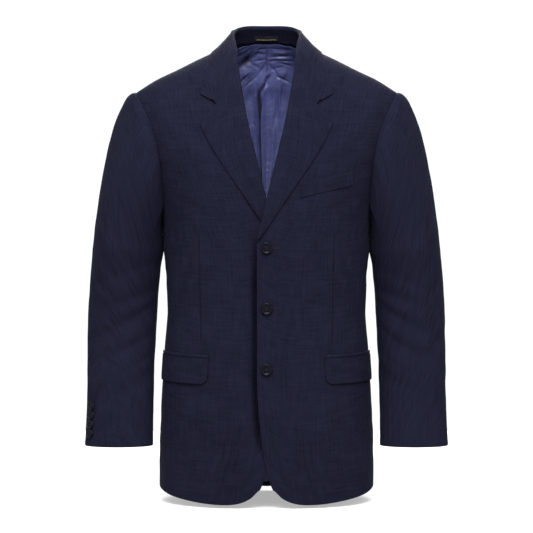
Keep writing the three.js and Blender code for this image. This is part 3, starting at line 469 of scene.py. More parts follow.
class Signal:
    """An output of a material's nodes; sums with it add the nodes that work them out."""

    def __init__(self, tree, socket):
        self.tree = tree
        self.socket = socket

    def node(self, kind, inputs, output=0, **settings):
        """Adds any node, sets it and fills its inputs, by name or number, with values or signals."""
        made = self.tree.nodes.new(kind)
        for name, value in settings.items():
            setattr(made, name, value)
        for name, value in inputs.items():
            if isinstance(value, Signal):
                self.tree.links.new(value.socket, made.inputs[name])
            else:
                made.inputs[name].default_value = value
        return Signal(self.tree, made.outputs[output])

    def sum(self, operation, first, second=0.0):
        return self.node("ShaderNodeMath", {0: first, 1: second}, operation=operation)

    def __add__(self, other):
        return self.sum("ADD", self, other)

    __radd__ = __add__

    def __sub__(self, other):
        return self.sum("SUBTRACT", self, other)

    def __rsub__(self, other):
        return self.sum("SUBTRACT", other, self)

    def __mul__(self, other):
        return self.sum("MULTIPLY", self, other)

    __rmul__ = __mul__

    def parts(self):
        """The three parts of this vector."""
        first = self.node("ShaderNodeSeparateXYZ", {0: self})
        return [Signal(self.tree, output) for output in first.socket.node.outputs]

    def stored(self, name):
        """A value that the mesh holds at its points."""
        return self.node("ShaderNodeAttribute", {}, output=2, attribute_name=name)

    def cosine(self):
        return self.sum("COSINE", self)

    def size(self):
        return self.sum("ABSOLUTE", self)

    def stretched(self, x, y, z=1.0):
        """This vector, scaled by a different amount each way."""
        return self.node("ShaderNodeVectorMath", {0: self, 1: (x, y, z)}, operation="MULTIPLY")

    def noise(self, scale, detail=2.0, roughness=0.5):
        """Smooth noise from 0 to 1 over this vector."""
        return self.node("ShaderNodeTexNoise", {"Vector": self, "Scale": scale, "Detail": detail,
                                                "Roughness": roughness})

    def band(self, low, high):
        """0 at low, 1 at high and a soft step between them."""
        return self.node("ShaderNodeMapRange", {"Value": self, "From Min": low, "From Max": high},
                         interpolation_type="SMOOTHSTEP")

    def tinted(self, low, high):
        """A colour between two colours, by this signal."""
        return self.node("ShaderNodeMix", {0: self, 6: low, 7: high}, output=2, data_type="RGBA")


def new_paint(name, roughness, specular=0.3, sheen=0.0, sheen_roughness=0.5, sheen_tint=(1, 1, 1)):
    """A material with its shader, its weave coordinates and its coordinates in the jacket."""
    paint = bpy.data.materials.new(name)
    paint.use_nodes = True
    tree = paint.node_tree
    shader = tree.nodes["Principled BSDF"]
    shader.inputs["Roughness"].default_value = roughness
    shader.inputs["Specular IOR Level"].default_value = specular
    shader.inputs["Sheen Weight"].default_value = sheen
    shader.inputs["Sheen Roughness"].default_value = sheen_roughness
    shader.inputs["Sheen Tint"].default_value = (*sheen_tint, 1)
    weave = tree.nodes.new("ShaderNodeUVMap")
    weave.uv_map = "weave"
    where = tree.nodes.new("ShaderNodeTexCoord")
    return paint, shader, Signal(tree, weave.outputs["UV"]), Signal(tree, where.outputs["Object"])


def finish_paint(paint, shader, colour, height, relief=0.001):
    """Joins a colour and a height in millimetres to a material's shader."""
    bump = colour.node("ShaderNodeBump", {"Height": height, "Strength": 1.0, "Distance": relief})
    paint.node_tree.links.new(colour.socket, shader.inputs["Base Color"])
    paint.node_tree.links.new(bump.socket, shader.inputs["Normal"])
    return paint


# The linen's shades, the painted shade of its deep folds, and what each part of the weave adds to its shade
# and its relief
LINEN_LOW = (0.0013, 0.0014, 0.0036, 1)
LINEN_HIGH = (0.0065, 0.0068, 0.0150, 1)
LINEN_CREASE_SHADE = (0.0004, 0.0004, 0.001, 1)
CREASE_SHADE_SHARE = 0.7
THREAD_PITCH = 0.0011
THREAD_RELIEF = 0.05
SLUB_LONG = 26
SLUB_FINE = 620
STREAK_FINE = 300
SHADE_PARTS = (0.55, 0.55, 0.4, 0.4, 0.35, 0.25)
RELIEF_PARTS = (0.22, 0.22, 0.22, 0.22, 0.9)


def linen(name, line=None):
    """Plain-weave navy linen with slubs both ways and painted shade in deep folds; line gives the depth of a
    sewn line on it and the painted shade along its valley.
    """
    paint, shader, weave, where = new_paint(name, roughness=0.9, specular=0.02, sheen=0.006,
                                            sheen_roughness=0.45, sheen_tint=(0.55, 0.6, 0.9))
    u, v, _ = weave.parts()
    wave = 2 * math.pi / (2 * THREAD_PITCH)
    threads = (u * wave).cosine() * (v * wave).cosine()
    weft = weave.stretched(SLUB_LONG, SLUB_FINE).noise(1.0)
    warp = weave.stretched(SLUB_FINE, SLUB_LONG).noise(1.0)
    broad_weft = weave.stretched(SLUB_LONG, STREAK_FINE).noise(0.8, 1.0)
    broad_warp = weave.stretched(STREAK_FINE, SLUB_LONG).noise(0.8, 1.0)
    parts = (weft, warp, broad_weft, broad_warp, weave.noise(34.0, 3.0), where.noise(7.0, 2.0))
    tone = 0.5
    for part, share in zip(parts, SHADE_PARTS):
        tone = tone + (part - 0.5) * share
    height = threads * THREAD_RELIEF
    for part, relief in zip(parts, RELIEF_PARTS):
        height = height + part * relief
    if line:
        deep, painted_seam_shade = line(where)
        # The sewn line darkens the colour as painted shade in its valley.
        tone = tone * (1 - painted_seam_shade)
        height = height - deep
    # Deep folds are darkened towards a near-black navy as painted shade.
    crease_shade = weave.stored("crease_shade") * CREASE_SHADE_SHARE
    colour = crease_shade.tinted(tone.tinted(LINEN_LOW, LINEN_HIGH), LINEN_CREASE_SHADE)
    return finish_paint(paint, shader, colour, height)


# The dart's line, how deep it dents the cloth, and how much painted shade darkens its valley
DART = {"x": 0.1145, "lean": 0.018, "top": -0.308, "bottom": -0.516, "wide": 0.0016, "deep": 1.1,
        "painted_seam_shade": 0.45, "fades_up": 0.03, "fades_down": 0.012}


def dart_line(where):
    """The sewn line of each front's dart, a little slanting, fading out at its top: a dent for the bump and
    painted shade along its valley.
    """
    x, y, z = where.parts()
    away = (x.size() - (z - DART["top"]) * DART["lean"] - DART["x"]).size()
    near = (1 - away.band(0.0, DART["wide"])) * y.band(0.0, -0.001)
    low = z.band(DART["bottom"], DART["bottom"] + DART["fades_down"])
    along = low * (1 - z.band(DART["top"] - DART["fades_up"], DART["top"]))
    return near * along * DART["deep"], near * along * DART["painted_seam_shade"]


def declare(piece, nodes, paint):
    """Gives a piece its material and body, and hides the solids that it stands for."""
    piece.data.materials.append(paint)
    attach(piece, "root")
    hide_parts(*nodes)


# Rows of points: their pitch, the lengths of a panel below and above the underarm, and the last row below it
PITCH = 4.6
BELOW = 480
ABOVE = 250
LAST_BELOW = 4.5
FIRST_ABOVE = 0.2
LAPEL_FOOT_ROWS = (0.941, 0.9524)


def drawn_in(at, gap=SEAM / 4):
    """Moves a grid's edges in by the room left at a seam."""
    at = at.copy()
    at[:, 0] += unit(at[:, 1] - at[:, 0]) * gap
    at[:, -1] += unit(at[:, -2] - at[:, -1]) * gap
    at[0] += unit(at[1] - at[0]) * gap
    at[-1] += unit(at[-2] - at[-1]) * gap
    return at


def ups_below(extra=()):
    """Shares of the way from hem to underarm, closer together at the hem."""
    low = shares(BELOW, PITCH)
    return np.unique(np.concatenate((low[low < 1 - LAST_BELOW / BELOW], (1.0,), extra)))


def steps_above():
    """Steps of the way from underarm to shoulder, closer together at the shoulder."""
    high = shares(ABOVE, PITCH) * ARMHOLE_STEPS
    return high[high > FIRST_ABOVE]


def panel_spots(seams, ups, edges, across):
    """All of a panel's rows: between two seams up to the underarm, and between two edges above it."""
    low, high = lower_spots(*seams, ups, across), upper_spots(*edges, across)
    return np.concatenate((low[0], high[0])), np.concatenate((low[1], high[1]))


def side_edge_front(up):
    return read(SIDE_SEAMS, up, "front")


# The unevenness and the folds begin at one distance from a seam and are full at the other. The left front's
# edge stands off the right front along its straight run, and the turned-up hem is thicker than the cloth.
FRONT_WIDE = 245
FRONT_UNEVEN = {"apart": 62, "deep": 0.34, "seed": 5}
FRONT_CALM = (4, 26)
# Fold depths in millimetres over which painted shade sets in; it falls in the trough beside the left front's
# edge
FRONT_SHADED_FOLD_DEPTHS = (2.2, 7)
EDGE_STANDS = {"by": 1.7, "wide": (1, 13), "from_hem": (-700, -600), "to_lapel": (-345, -330)}
FRONT_HEM = {"extra": 0.5, "ends": (20, 40)}


def add_front(side, word, paint):
    """One front, from its edge and roll line to the side seam and the armhole."""
    steps = steps_above()
    edges = (front_inner_spot(steps), armhole(ARMHOLE_FRONT, -1, steps))
    ups = ups_below(LAPEL_FOOT_ROWS)
    spots = panel_spots((edge_turn, side_edge_front), ups, edges, shares(FRONT_WIDE, PITCH))
    at, out = cloth(side, *spots)
    far = edge_distance(at)
    x, z = at[..., 0], at[..., 2]
    calm = ease(*FRONT_CALM, far)
    folds = dents(FRONT_FOLDS, side, x, z)
    moved = turned_in(far) + (folds + ripple(x, z, FRONT_UNEVEN, side)) * calm
    if side > 0:
        straight = ease(*EDGE_STANDS["from_hem"], z) * (1 - ease(*EDGE_STANDS["to_lapel"], z))
        moved = moved - EDGE_STANDS["by"] * (1 - ease(*EDGE_STANDS["wide"], lengths(at, 1))) * straight
    thick = CLOTH + FRONT_HEM["extra"] * (1 - ease(*FRONT_HEM["ends"], lengths(at, 0)))
    piece = shell(f"{word}_front_cloth", side, drawn_in(at - out * moved[..., None]), out, thick,
                  crease_shade=ease(*FRONT_SHADED_FOLD_DEPTHS, folds * calm))
    declare(piece, [f"{word}_front"], paint)


front_linen = linen("front_linen", dart_line)
for side, word in SIDES:
    add_front(side, word, front_linen)

# Side bodies
# A narrow panel under each arm joins the front to the back; plain seams, pressed open on the inside.
# Seen from in front it turns away at the waist, and the sleeve hides its upper end.
SIDE_WIDE = 150
SIDE_GIRTH = 110
SIDE_TOP_ROWS = (5, 3.5, 2, 1.1, 0.5, 0)
SIDE_UNEVEN = {"apart": 58, "deep": 0.34, "seed": 11}
SIDE_CALM = (4, 24)
SIDE_CUT = {"flat": (0.17, 0.50), "area": 0.068, "from_roll": (230, 0)}
SIDE_FOLDS = table(
    "x z long wide angle deep side",
    (8, -360, 34, 14, 20, 1.4, 0), (-6, -395, 40, 12, -12, 1.0, 0), (12, -450, 30, 16, 30, 0.9, 0),
    (-4, -560, 26, 12, -34, 1.0, 0), (0, -350, 60, 20, 0, -2.2, 0), (14, -640, 40, 13, 18, 0.9, 0),
    (0, -700, 34, 12, -16, 0.8, 0),
)


def side_edge_back(up):
    return read(SIDE_SEAMS, up, "back")


def add_side_body(side, word, paint):
    """One side body, from the hem to the underarm; its folds are placed by the way round the side."""
    ups = ups_below()
    ups = np.concatenate((ups[ups < 1 - (SIDE_TOP_ROWS[0] + 1) / BELOW], 1 - np.array(SIDE_TOP_ROWS) / BELOW))
    turn, level = lower_spots(side_edge_front, side_edge_back, ups, shares(SIDE_WIDE, PITCH))
    at, out = cloth(side, turn, level)
    far = edge_distance(at)
    x, z = np.radians(turn) * SIDE_GIRTH, at[..., 2]
    moved = dents(SIDE_FOLDS, side, x, z) + ripple(x, z, SIDE_UNEVEN, side)
    moved = turned_in(far) + moved * ease(*SIDE_CALM, far)
    piece = shell(f"{word}_side_body_cloth", side, drawn_in(at - out * moved[..., None]), out, CLOTH,
                  SIDE_CUT["from_roll"])
    declare(piece, [f"{word}_side_body"], paint)


plain_linen = linen("plain_linen")
for side, word in SIDES:
    add_side_body(side, word, plain_linen)

# Backs
# Two linen panels meet in a centre back seam that runs from the collar to the hem, with no vent.
# They are eased over the shoulder blades and drop straight from there, with a few soft creases at the waist.
BACK_WIDE = 230
BACK_UNEVEN = {"apart": 66, "deep": 0.34, "seed": 21}
BACK_CALM = (4, 26)
BACK_CUT = {"flat": (0.235, 0.83), "area": 0.146, "from_roll": (380, 0)}
BACK_NECK_STEPS = (6, 7, 8)
BACK_NECK = ((0.01, 24), (38, 21.5), (62, 13))
ARMHOLE_BACK = table(
    "along x z",
    (0, 164.2, -268), (0.15, 172, -240), (0.33, 181.5, -205), (0.5, 190, -172),
    (0.66, 199, -142), (0.79, 208.5, -116), (0.9, 219, -93), (1, 229, -74),
)
BACK_FOLDS = table(
    "x z long wide angle deep side",
    (60, -395, 70, 12, -10, 1.2, 1), (84, -430, 60, 11, 8, 1.0, -1), (110, -372, 46, 12, 22, 1.1, -1),
    (40, -450, 44, 10, 16, 0.8, 1), (120, -455, 40, 12, -24, 1.0, 1), (70, -330, 50, 12, 14, 0.7, -1),
    (150, -300, 60, 16, 56, 1.6, 0), (138, -250, 52, 14, 64, 1.2, 0), (90, -560, 60, 13, -8, 0.8, 1),
    (60, -640, 56, 12, 12, 0.9, -1), (120, -690, 50, 13, -20, 0.9, 0), (36, -720, 40, 11, 24, 0.7, 1),
    (60, -60, 44, 12, -6, 0.9, 0), (120, -120, 60, 20, -30, 0.9, 0),
)


def back_inner_spot(step):
    """Where a back's inner edge runs above the underarm: up the centre seam, then along the neck."""
    spots = [place(*neck, 1) for neck in BACK_NECK] + [place(NECK_X, read(RIDGE, NECK_X, "z"), 1)]
    start = float(height_at(90.0, 1.0)) - CHEST
    steps = (0,) + BACK_NECK_STEPS + (ARMHOLE_STEPS,)
    turn = np.interp(step, steps, [90.0] + [float(s[0]) for s in spots])
    return turn, np.interp(step, steps, [start] + [float(s[1]) for s in spots])


def centre_back(up):
    return np.full_like(up, 90.0)


def back_spots(ups, steps, across):
    """All of a back's rows, from its side seam and armhole to the middle."""
    edges = (armhole(ARMHOLE_BACK, 1, steps), back_inner_spot(steps))
    return panel_spots((side_edge_back, centre_back), ups, edges, across)


def add_back(side, word, paint):
    """One back; the two touch at the middle below the neck, so that no light comes through the seam."""
    at, out = cloth(side, *back_spots(ups_below(), steps_above(), shares(BACK_WIDE, PITCH)))
    far = edge_distance(at)
    x, z = at[..., 0], at[..., 2]
    moved = dents(BACK_FOLDS, side, x, z) + ripple(x, z, BACK_UNEVEN, side)
    moved = turned_in(far) + moved * ease(*BACK_CALM, far)
    at = drawn_in(at - out * moved[..., None])
    at[at[:, -1, 2] < 0, -1, 0] = 0
    piece = shell(f"{word}_back_cloth", side, at, out, CLOTH, BACK_CUT["from_roll"])
    declare(piece, [f"{word}_back"], paint)


for side, word in SIDES:
    add_back(side, word, plain_linen)

# Sleeves
# Each is cut as a wide top sleeve and a narrower under sleeve, set in with a little ease at its head.
# It hangs slightly forward from the elbow, and creases run across its inner side where the arm bends.
SLEEVE = table(
    "z x wide y deep",
    (-690, 254.3, 58.8, -45, 37), (-613, 253.7, 57.8, -25, 43), (-525, 253.2, 59.5, -8, 51),
    (-438, 250, 60.7, -1, 60), (-350, 243, 61, -5, 70),
)
CUFF = -687
CAP_ENDS = -350
CAP = table(
    "round out fore down reach settle",
    (0, 0.97, 0, 0.2, 130, 300), (45, 0.85, 0.35, 0.4, 110, 220), (90, 0.55, 0.65, 0.5, 80, 150),
    (138, 0.5, 0.45, 0.75, 45, 70), (180, 0.25, 0, 0.97, 30, 40), (222, 0.5, -0.4, 0.77, 45, 70),
    (270, 0.6, -0.6, 0.5, 80, 150), (315, 0.85, -0.3, 0.4, 110, 220), (360, 0.97, 0, 0.2, 130, 300),
)
ARM_WAY = (0.1, 0, -1)
UNDER_ARC = 84
UNDERARM_STEPS = 6
COLUMNS = 2 * ARMHOLE_STEPS + UNDERARM_STEPS
FORE_SEAM = 9
HIND_SEAM = 20
SLEEVE_TURN = {"left": 22, "right": 86}
TURNED_BY = -620
FOLD_GIRTH = 54
# A sleeve's first row is tucked under the armhole's edge; then come shares of its cap, and heights of its arm
TUCKED = (-2.2, -2.2)
CAP_ROWS = np.concatenate(((0, 0.002, 0.005, 0.01, 0.018), np.linspace(0.035, 0.975, 48)))
ARM_ROWS = np.concatenate((np.linspace(CAP_ENDS, CUFF + 6, 76), CUFF + np.array((4.2, 2.8, 1.6, 0.7, 0))))
SLEEVE_FOLDS = table(
    "z round slant long wide deep side",
    (-432, 118, 0.35, 46, 13, 3, 0), (-478, 100, 0.5, 58, 15, 3.3, 0), (-528, 84, 0.3, 50, 14, 2.6, 0),
    (-585, 110, 0.45, 52, 16, 2.8, 0), (-395, 250, -0.3, 48, 15, 3, 0), (-470, 262, 0.25, 50, 14, 2.6, 0),
    (-560, 240, -0.4, 46, 15, 2.6, 0),
    (-455, 132, 0.6, 34, 6, 1.4, 0), (-502, 128, 0.7, 36, 6, 1.6, 1), (-515, 112, 0.55, 34, 6, 1.4, -1),
    (-548, 122, 0.65, 32, 6, 1.3, 0), (-600, 92, 0.4, 34, 8, 1.1, -1), (-612, 100, 0.3, 34, 8, 1.1, 1),
    (-405, 96, 0.5, 40, 9, 1.2, 1), (-392, 90, 0.4, 44, 9, 1.2, -1), (-640, 70, -0.3, 36, 9, 0.9, 0),
    (-300, 80, 0.9, 60, 14, 1.2, 0), (-250, 60, 1.2, 56, 14, 1.0, 0), (-330, 40, 0.8, 50, 16, 0.8, 1),
    (-440, 40, -0.5, 46, 14, 0.9, -1), (-560, 36, 0.6, 44, 14, 0.8, 0), (-500, 20, -0.4, 40, 14, 0.8, 1),
    (-300, 280, -0.8, 56, 14, 1.2, 0), (-420, 300, 0.4, 46, 14, 0.9, 0), (-520, 320, -0.4, 44, 14, 0.9, 0),
    (-620, 290, 0.3, 40, 12, 0.9, 0), (-352, 180, 0, 60, 20, -2.4, 0),
)
SLEEVE_PITCH = 5.0
SLEEVE_CALM = (4, 24)
SLEEVE_HEAD = {"swell": 1.3, "rises": (3, 12), "falls": (16, 44)}
CUFF_HEM = {"extra": 1.2, "ends": (30, 42), "ridge": 0.25, "ridge_from": (2, 5), "ridge_to": (5, 9)}
TOP_SLEEVE = {"kind": "top", "from": HIND_SEAM, "to": COLUMNS + FORE_SEAM, "wide": 232,
              "uneven": {"apart": 54, "deep": 0.42, "seed": 91}}
UNDER_SLEEVE = {"kind": "under", "from": FORE_SEAM, "to": HIND_SEAM, "wide": 160,
                "uneven": {"apart": 54, "deep": 0.42, "seed": 58}}
TOP_SLEEVE_CUT = {"flat": (0.26, 0.66), "area": 0.124, "from_roll": (1300, 0)}
UNDER_SLEEVE_CUT = {"flat": (0.17, 0.57), "area": 0.074, "from_roll": (970, 0)}


def sunk(side, round_it, z):
    """How far a point of the sleeve sinks into the folds near it."""
    total = np.zeros(np.broadcast(round_it, z).shape)
    for k in folds_on(SLEEVE_FOLDS, side):
        gap = (round_it - SLEEVE_FOLDS["round"][k] + 180) % 360 - 180
        across = np.radians(gap) * FOLD_GIRTH
        total += dent(SLEEVE_FOLDS, k, across, z - SLEEVE_FOLDS["z"][k] - across * SLEEVE_FOLDS["slant"][k])
    return total


def round_at(column):
    """Degrees round the sleeve, from its outer side over the front, at a column counted from the shoulder."""
    half_turn = 180 - UNDER_ARC / 2
    columns = (0, ARMHOLE_STEPS, ARMHOLE_STEPS + UNDERARM_STEPS, COLUMNS)
    return np.interp(column % COLUMNS, columns, (0, half_turn, half_turn + UNDER_ARC, 360))


def armhole_spot(column):
    """Turn and level where a column of the sleeve meets the armhole."""
    column = column % COLUMNS
    front = armhole(ARMHOLE_FRONT, -1, np.clip(ARMHOLE_STEPS - column, 0, ARMHOLE_STEPS))
    past = column - ARMHOLE_STEPS
    back = armhole(ARMHOLE_BACK, 1, np.clip(past - UNDERARM_STEPS, 0, ARMHOLE_STEPS))
    low_share = np.clip(past / UNDERARM_STEPS, 0, 1)
    low_turn = mix(float(side_edge_front(1.0)), float(side_edge_back(1.0)), low_share)
    low_level = height_at(low_turn, 1.0) - CHEST
    turn = np.where(past <= 0, front[0], np.where(past >= UNDERARM_STEPS, back[0], low_turn))
    return turn, np.where(past <= 0, front[1], np.where(past >= UNDERARM_STEPS, back[1], low_level))


def turned(word, z):
    """How far a forearm turns inwards at a height, in degrees."""
    return SLEEVE_TURN[word] * (1 - ease(TURNED_BY, CAP_ENDS, z))


def ring_point(side, round_it, z):
    """A point of the sleeve below its cap."""
    inset = sunk(side, round_it, z)
    angle = np.radians(round_it)
    x = read(SLEEVE, z, "x") + (read(SLEEVE, z, "wide") - inset) * np.cos(angle)
    return points(x, read(SLEEVE, z, "y") - (read(SLEEVE, z, "deep") - inset) * np.sin(angle), z)


def cap_start(column, raised, onward):
    """Where a column of the cap leaves the armhole, and its way from there."""
    round_it = round_at(column)
    way = unit(points(read(CAP, round_it, "out"), -read(CAP, round_it, "fore"), -read(CAP, round_it, "down")))
    return cloth(1, *armhole_spot(column), raised)[0] + way * onward, way


def cap_point(side, column, t):
    """A point of the cap, a share of the way from the armhole to the first ring."""
    round_it = round_at(column)
    start, way = cap_start(column, BLIND_SEAM, BLIND_SEAM)
    end = ring_point(side, round_it, np.full_like(round_it, float(CAP_ENDS)))
    leave = way * (read(CAP, round_it, "reach") * t * (1 - t) ** 2)[..., None]
    arrive = np.array(ARM_WAY) * (-read(CAP, round_it, "settle") * t * t * (1 - t))[..., None]
    share = (t * t * (3 - 2 * t))[..., None]
    return start * (1 - share) + end * share + leave + arrive


def face_out(at, look, closed=False):
    """The way that each point of a grid faces, from its neighbours."""
    up = np.gradient(at, axis=0)
    across = np.roll(at, -1, axis=1) - np.roll(at, 1, axis=1) if closed else np.gradient(at, axis=1)
    return unit(np.cross(across, up)) * look


def sleeve_strip(side, word, start, end, across):
    """The grid of a sleeve piece between two of its columns, from the armhole down to the cuff."""
    columns = start + (end - start) * across
    column_grid, t_grid = np.meshgrid(columns, CAP_ROWS)
    hidden, _ = cap_start(columns, *TUCKED)
    cap = np.concatenate((hidden[None], cap_point(side, column_grid, t_grid)))
    column_grid, z_grid = np.meshgrid(columns, ARM_ROWS)
    arm = ring_point(side, round_at(column_grid) + turned(word, z_grid), z_grid)
    return np.concatenate((cap, arm))


def add_sleeve_piece(side, word, sleeve, cut, paint):
    """A top or an under sleeve; the head of the top one swells with its ease, and the cuff is turned up."""
    kind = sleeve["kind"]
    at = sleeve_strip(side, word, sleeve["from"], sleeve["to"], shares(sleeve["wide"], SLEEVE_PITCH))
    out = face_out(at, 1)
    far = edge_distance(at)
    u, v = lengths(at, 1), lengths(at, 0)
    moved = turned_in(far) + ripple(u, v, sleeve["uneven"], side) * ease(*SLEEVE_CALM, far)
    if kind == "top":
        falls = 1 - ease(*SLEEVE_HEAD["falls"], v)
        moved = moved - SLEEVE_HEAD["swell"] * ease(*SLEEVE_HEAD["rises"], v) * falls
    from_cuff = v[-1:, :] - v
    ridge = ease(*CUFF_HEM["ridge_from"], from_cuff) * (1 - ease(*CUFF_HEM["ridge_to"], from_cuff))
    at = drawn_in(at - out * (moved - CUFF_HEM["ridge"] * ridge)[..., None])
    thick = CLOTH + CUFF_HEM["extra"] * (1 - ease(*CUFF_HEM["ends"], from_cuff))
    piece = shell(f"{word}_{kind}_sleeve_cloth", side, at, out, thick, cut["from_roll"])
    declare(piece, [f"{word}_{kind}_sleeve"], paint)


for side, word in SIDES:
    add_sleeve_piece(side, word, TOP_SLEEVE, TOP_SLEEVE_CUT, plain_linen)
    add_sleeve_piece(side, word, UNDER_SLEEVE, UNDER_SLEEVE_CUT, plain_linen)

# Lapels
# Each lapel is the faced top of a front, turned back along a soft roll from the top button to the collar.
# It is cut with a notch, pressed flat at its edge and left round and springy at the roll.
NOTCH = (83.5, -107)
NOTCH_SHARE = 0.55
MIDDLE = 4 / 7
FOLD_SHARE = 0.04
EDGE_LIFT = 2.6
FOLD_ANGLES = np.linspace(-90, 90, 13)
# Where the points of a row lie on the flat of a lapel or the collar, from the fold to the edge
OUTER_SHARES = mix(MIDDLE, 1, np.array((0.14, 0.28, 0.42, 0.56, 0.7, 0.82)))
EDGE_SHARES = 1 - np.array((0.052, 0.034, 0.02, 0.011, 0.005, 0))
FLAT_SHARES = np.concatenate((np.linspace(0, MIDDLE, 12), OUTER_SHARES, EDGE_SHARES))
LAPEL_ROWS = np.concatenate(((0, 0.003, 0.007, 0.012, 0.02), np.linspace(0.035, 0.965, 58),
                             (0.985, 0.9912, 0.995, 0.998, 1)))
ROLLED_EDGE = (1.0, 3.2)
SEWN_END = 0.4
LAPEL_UNEVEN = {"apart": 50, "deep": 0.2, "seed": 51}
LAPEL_CALM = (3, 20)
LAPEL_CUT = {"flat": (0.10, 0.33), "area": 0.0167, "from_roll": (1400, 0)}
LAPEL_FOLDS = table(
    "x z long wide angle deep side",
    (46, -200, 50, 14, 62, 0.5, 0), (70, -150, 36, 14, 30, 0.5, 1), (26, -250, 40, 10, 60, 0.4, -1),
    (64, -190, 34, 12, 66, 0.5, -1), (60, -90, 30, 14, 74, 0.5, 0),
)


def fold_round(seam, tip, turned_down, radius, angles):
    """The round of a fold in section, from the seam side over its tip to the turned-down side."""
    to_seam, to_cloth = unit(seam - tip), unit(turned_down - tip)
    outward = -unit(to_seam + to_cloth)
    over = to_cloth - to_seam
    over = unit(over - outward * np.sum(over * outward, axis=-1, keepdims=True))
    centre = tip - outward * radius[:, None]
    sine, cosine = np.sin(np.radians(angles)), np.cos(np.radians(angles))
    sweep = over[:, None] * sine[None, :, None] + outward[:, None] * cosine[None, :, None]
    return centre[:, None] + sweep * radius[:, None, None]


def to_middle(share):
    """Shares of the way from the fold to the middle of the flat, and from there to its edge."""
    return np.clip(share / MIDDLE, 0, 1), np.clip((share - MIDDLE) / (1 - MIDDLE), 0, 1)


def bent(start, middle, end, share):
    """A straight run from start to middle and on to end, by columns."""
    near, past = to_middle(share)
    inner = mix(start[:, None], middle[:, None], near)
    return np.where(share < MIDDLE, inner, mix(middle[:, None], end[:, None], past))


def lapel_grid(side, zs):
    """Rows of a lapel at heights of its roll line, from the seam inside the fold to the edge."""
    radius, puff = fold_radius(zs), read(LAPEL, zs, "puff")
    roll, edge_x, edge_z = (read(LAPEL, zs, name) for name in ("x", "edge_x", "edge_z"))
    pull = ease(0.5, 1, (zs - LAPEL["z"][0]) / (ROLL_TOP - LAPEL["z"][0]))
    straight = [mix(LAPEL[a][-1], LAPEL[b][-1], NOTCH_SHARE) for a, b in (("x", "edge_x"), ("z", "edge_z"))]
    middle_x = mix(roll, edge_x, NOTCH_SHARE) + (NOTCH[0] - straight[0]) * pull
    middle_z = mix(zs, edge_z, NOTCH_SHARE) + (NOTCH[1] - straight[1]) * pull
    x = bent(roll + radius, middle_x, edge_x, FLAT_SHARES)
    z = bent(mix(zs, edge_z, FOLD_SHARE), middle_z, edge_z, FLAT_SHARES)
    lift = mix(EDGE_LIFT, puff[:, None], np.cos(FLAT_SHARES * math.pi / 2))
    flat, _ = cloth_at(side, x, z, -1, lift)
    seam, _ = cloth_at(side, roll + radius + FOLD_ROOM, zs, -1, -CLOTH)
    tip, _ = cloth_at(side, roll, zs, -1, (puff - CLOTH) / 2)
    turn = fold_round(seam, tip, flat[:, 0], radius, FOLD_ANGLES[:-1])
    return np.concatenate((seam[:, None], turn, flat), axis=1)


def add_lapel(side, word, paint):
    """One lapel; its free edges roll in further than the end that is sewn to the collar."""
    at = lapel_grid(side, mix(LAPEL["z"][0], float(ROLL_TOP), LAPEL_ROWS))
    out = face_out(at, 1)
    x, z = at[..., 0], at[..., 2]
    rolled = (turned_in(edge_distance(at, left=False, high=False), *ROLLED_EDGE)
              + turned_in(edge_distance(at, False, False, False), SEWN_END))
    moved = dents(LAPEL_FOLDS, side, x, z) + ripple(x, z, LAPEL_UNEVEN, side)
    moved = rolled + moved * ease(*LAPEL_CALM, edge_distance(at, left=False))
    piece = shell(f"{word}_lapel_cloth", side, drawn_in(at - out * moved[..., None]), out, CLOTH,
                  LAPEL_CUT["from_roll"])
    declare(piece, [f"{word}_lapel"], paint)


for side, word in SIDES:
    add_lapel(side, word, plain_linen)

# Collar
# One piece of linen stands up round the neck and falls over a soft fold onto the shoulders and the back.
# Its ends are sewn to the lapels down to the notch, and its inner side is the dark stand behind the neck.
COLLAR_PUFF = 8
COLLAR_EDGE_LIFT = 2.2
GORGE = 7
GORGE_STARTS = 5.2
COLLAR_END_ROWS = GORGE - np.array((0.06, 0.035, 0.018, 0.007, 0))
COLLAR_ROWS = np.concatenate((np.linspace(0, GORGE - 0.1, 70), COLLAR_END_ROWS))
SOFTENED = {"first": 16, "last": 30, "passes": 8}
COLLAR_UNEVEN = {"apart": 46, "deep": 0.2, "seed": 57}
COLLAR_CUT = {"flat": (0.46, 0.115), "area": 0.045, "from_roll": (1800, 0)}
gorge_tip = cloth_at(1, read(LAPEL, ROLL_TOP, "x"), ROLL_TOP, -1, (COLLAR_PUFF - CLOTH) / 2)[0]
COLLAR = table(
    "at face seam_x seam_z fold_x fold_y fold_z mid_x mid_z edge_x edge_z lies",
    (0, 1, 0.01, 24.8, 0, 62, 49, 0.01, 23, 0.01, 0, 0),
    (1, 1, 36, 22.8, 34, 59, 48.5, 38, 20, 46, -3, 0),
    (2, 1, 59.8, 16.2, 50.5, 43, 42, 67, 6, 83, -8, 0),
    (3, 1, 71.4, 9, 56.5, 10, 32, 79, 3, 94, -4, 0),
    (4, -1, 70, -1.5, 56, -24, 18.5, 83, -13, 98.5, -24, 0),
    (5, -1, 64.4, -15.5, 53, -47, 6, 86, -40, 104.5, -46, 0.3),
    (6, -1, 59, -25.8, 49.8, -74, -15, 85, -73, 108.5, -67, 0.8),
    (GORGE, -1, 54, -36, *gorge_tip, NOTCH[0], NOTCH[1], 112.5, -87, 1),
)


def over_at(x, z, face):
    """How far a point lies over the shoulder: 0 at the chest in front, 90 on the ridge, 180 at the back."""
    front = np.degrees(np.arcsin(np.minimum((z - CHEST) / (read(RIDGE, np.abs(x), "z") - CHEST), 1)))
    return np.where(face < 0, front, 180 - front)


for line in ("seam", "mid", "edge"):
    COLLAR[f"{line}_over"] = over_at(COLLAR[f"{line}_x"], COLLAR[f"{line}_z"], COLLAR["face"])


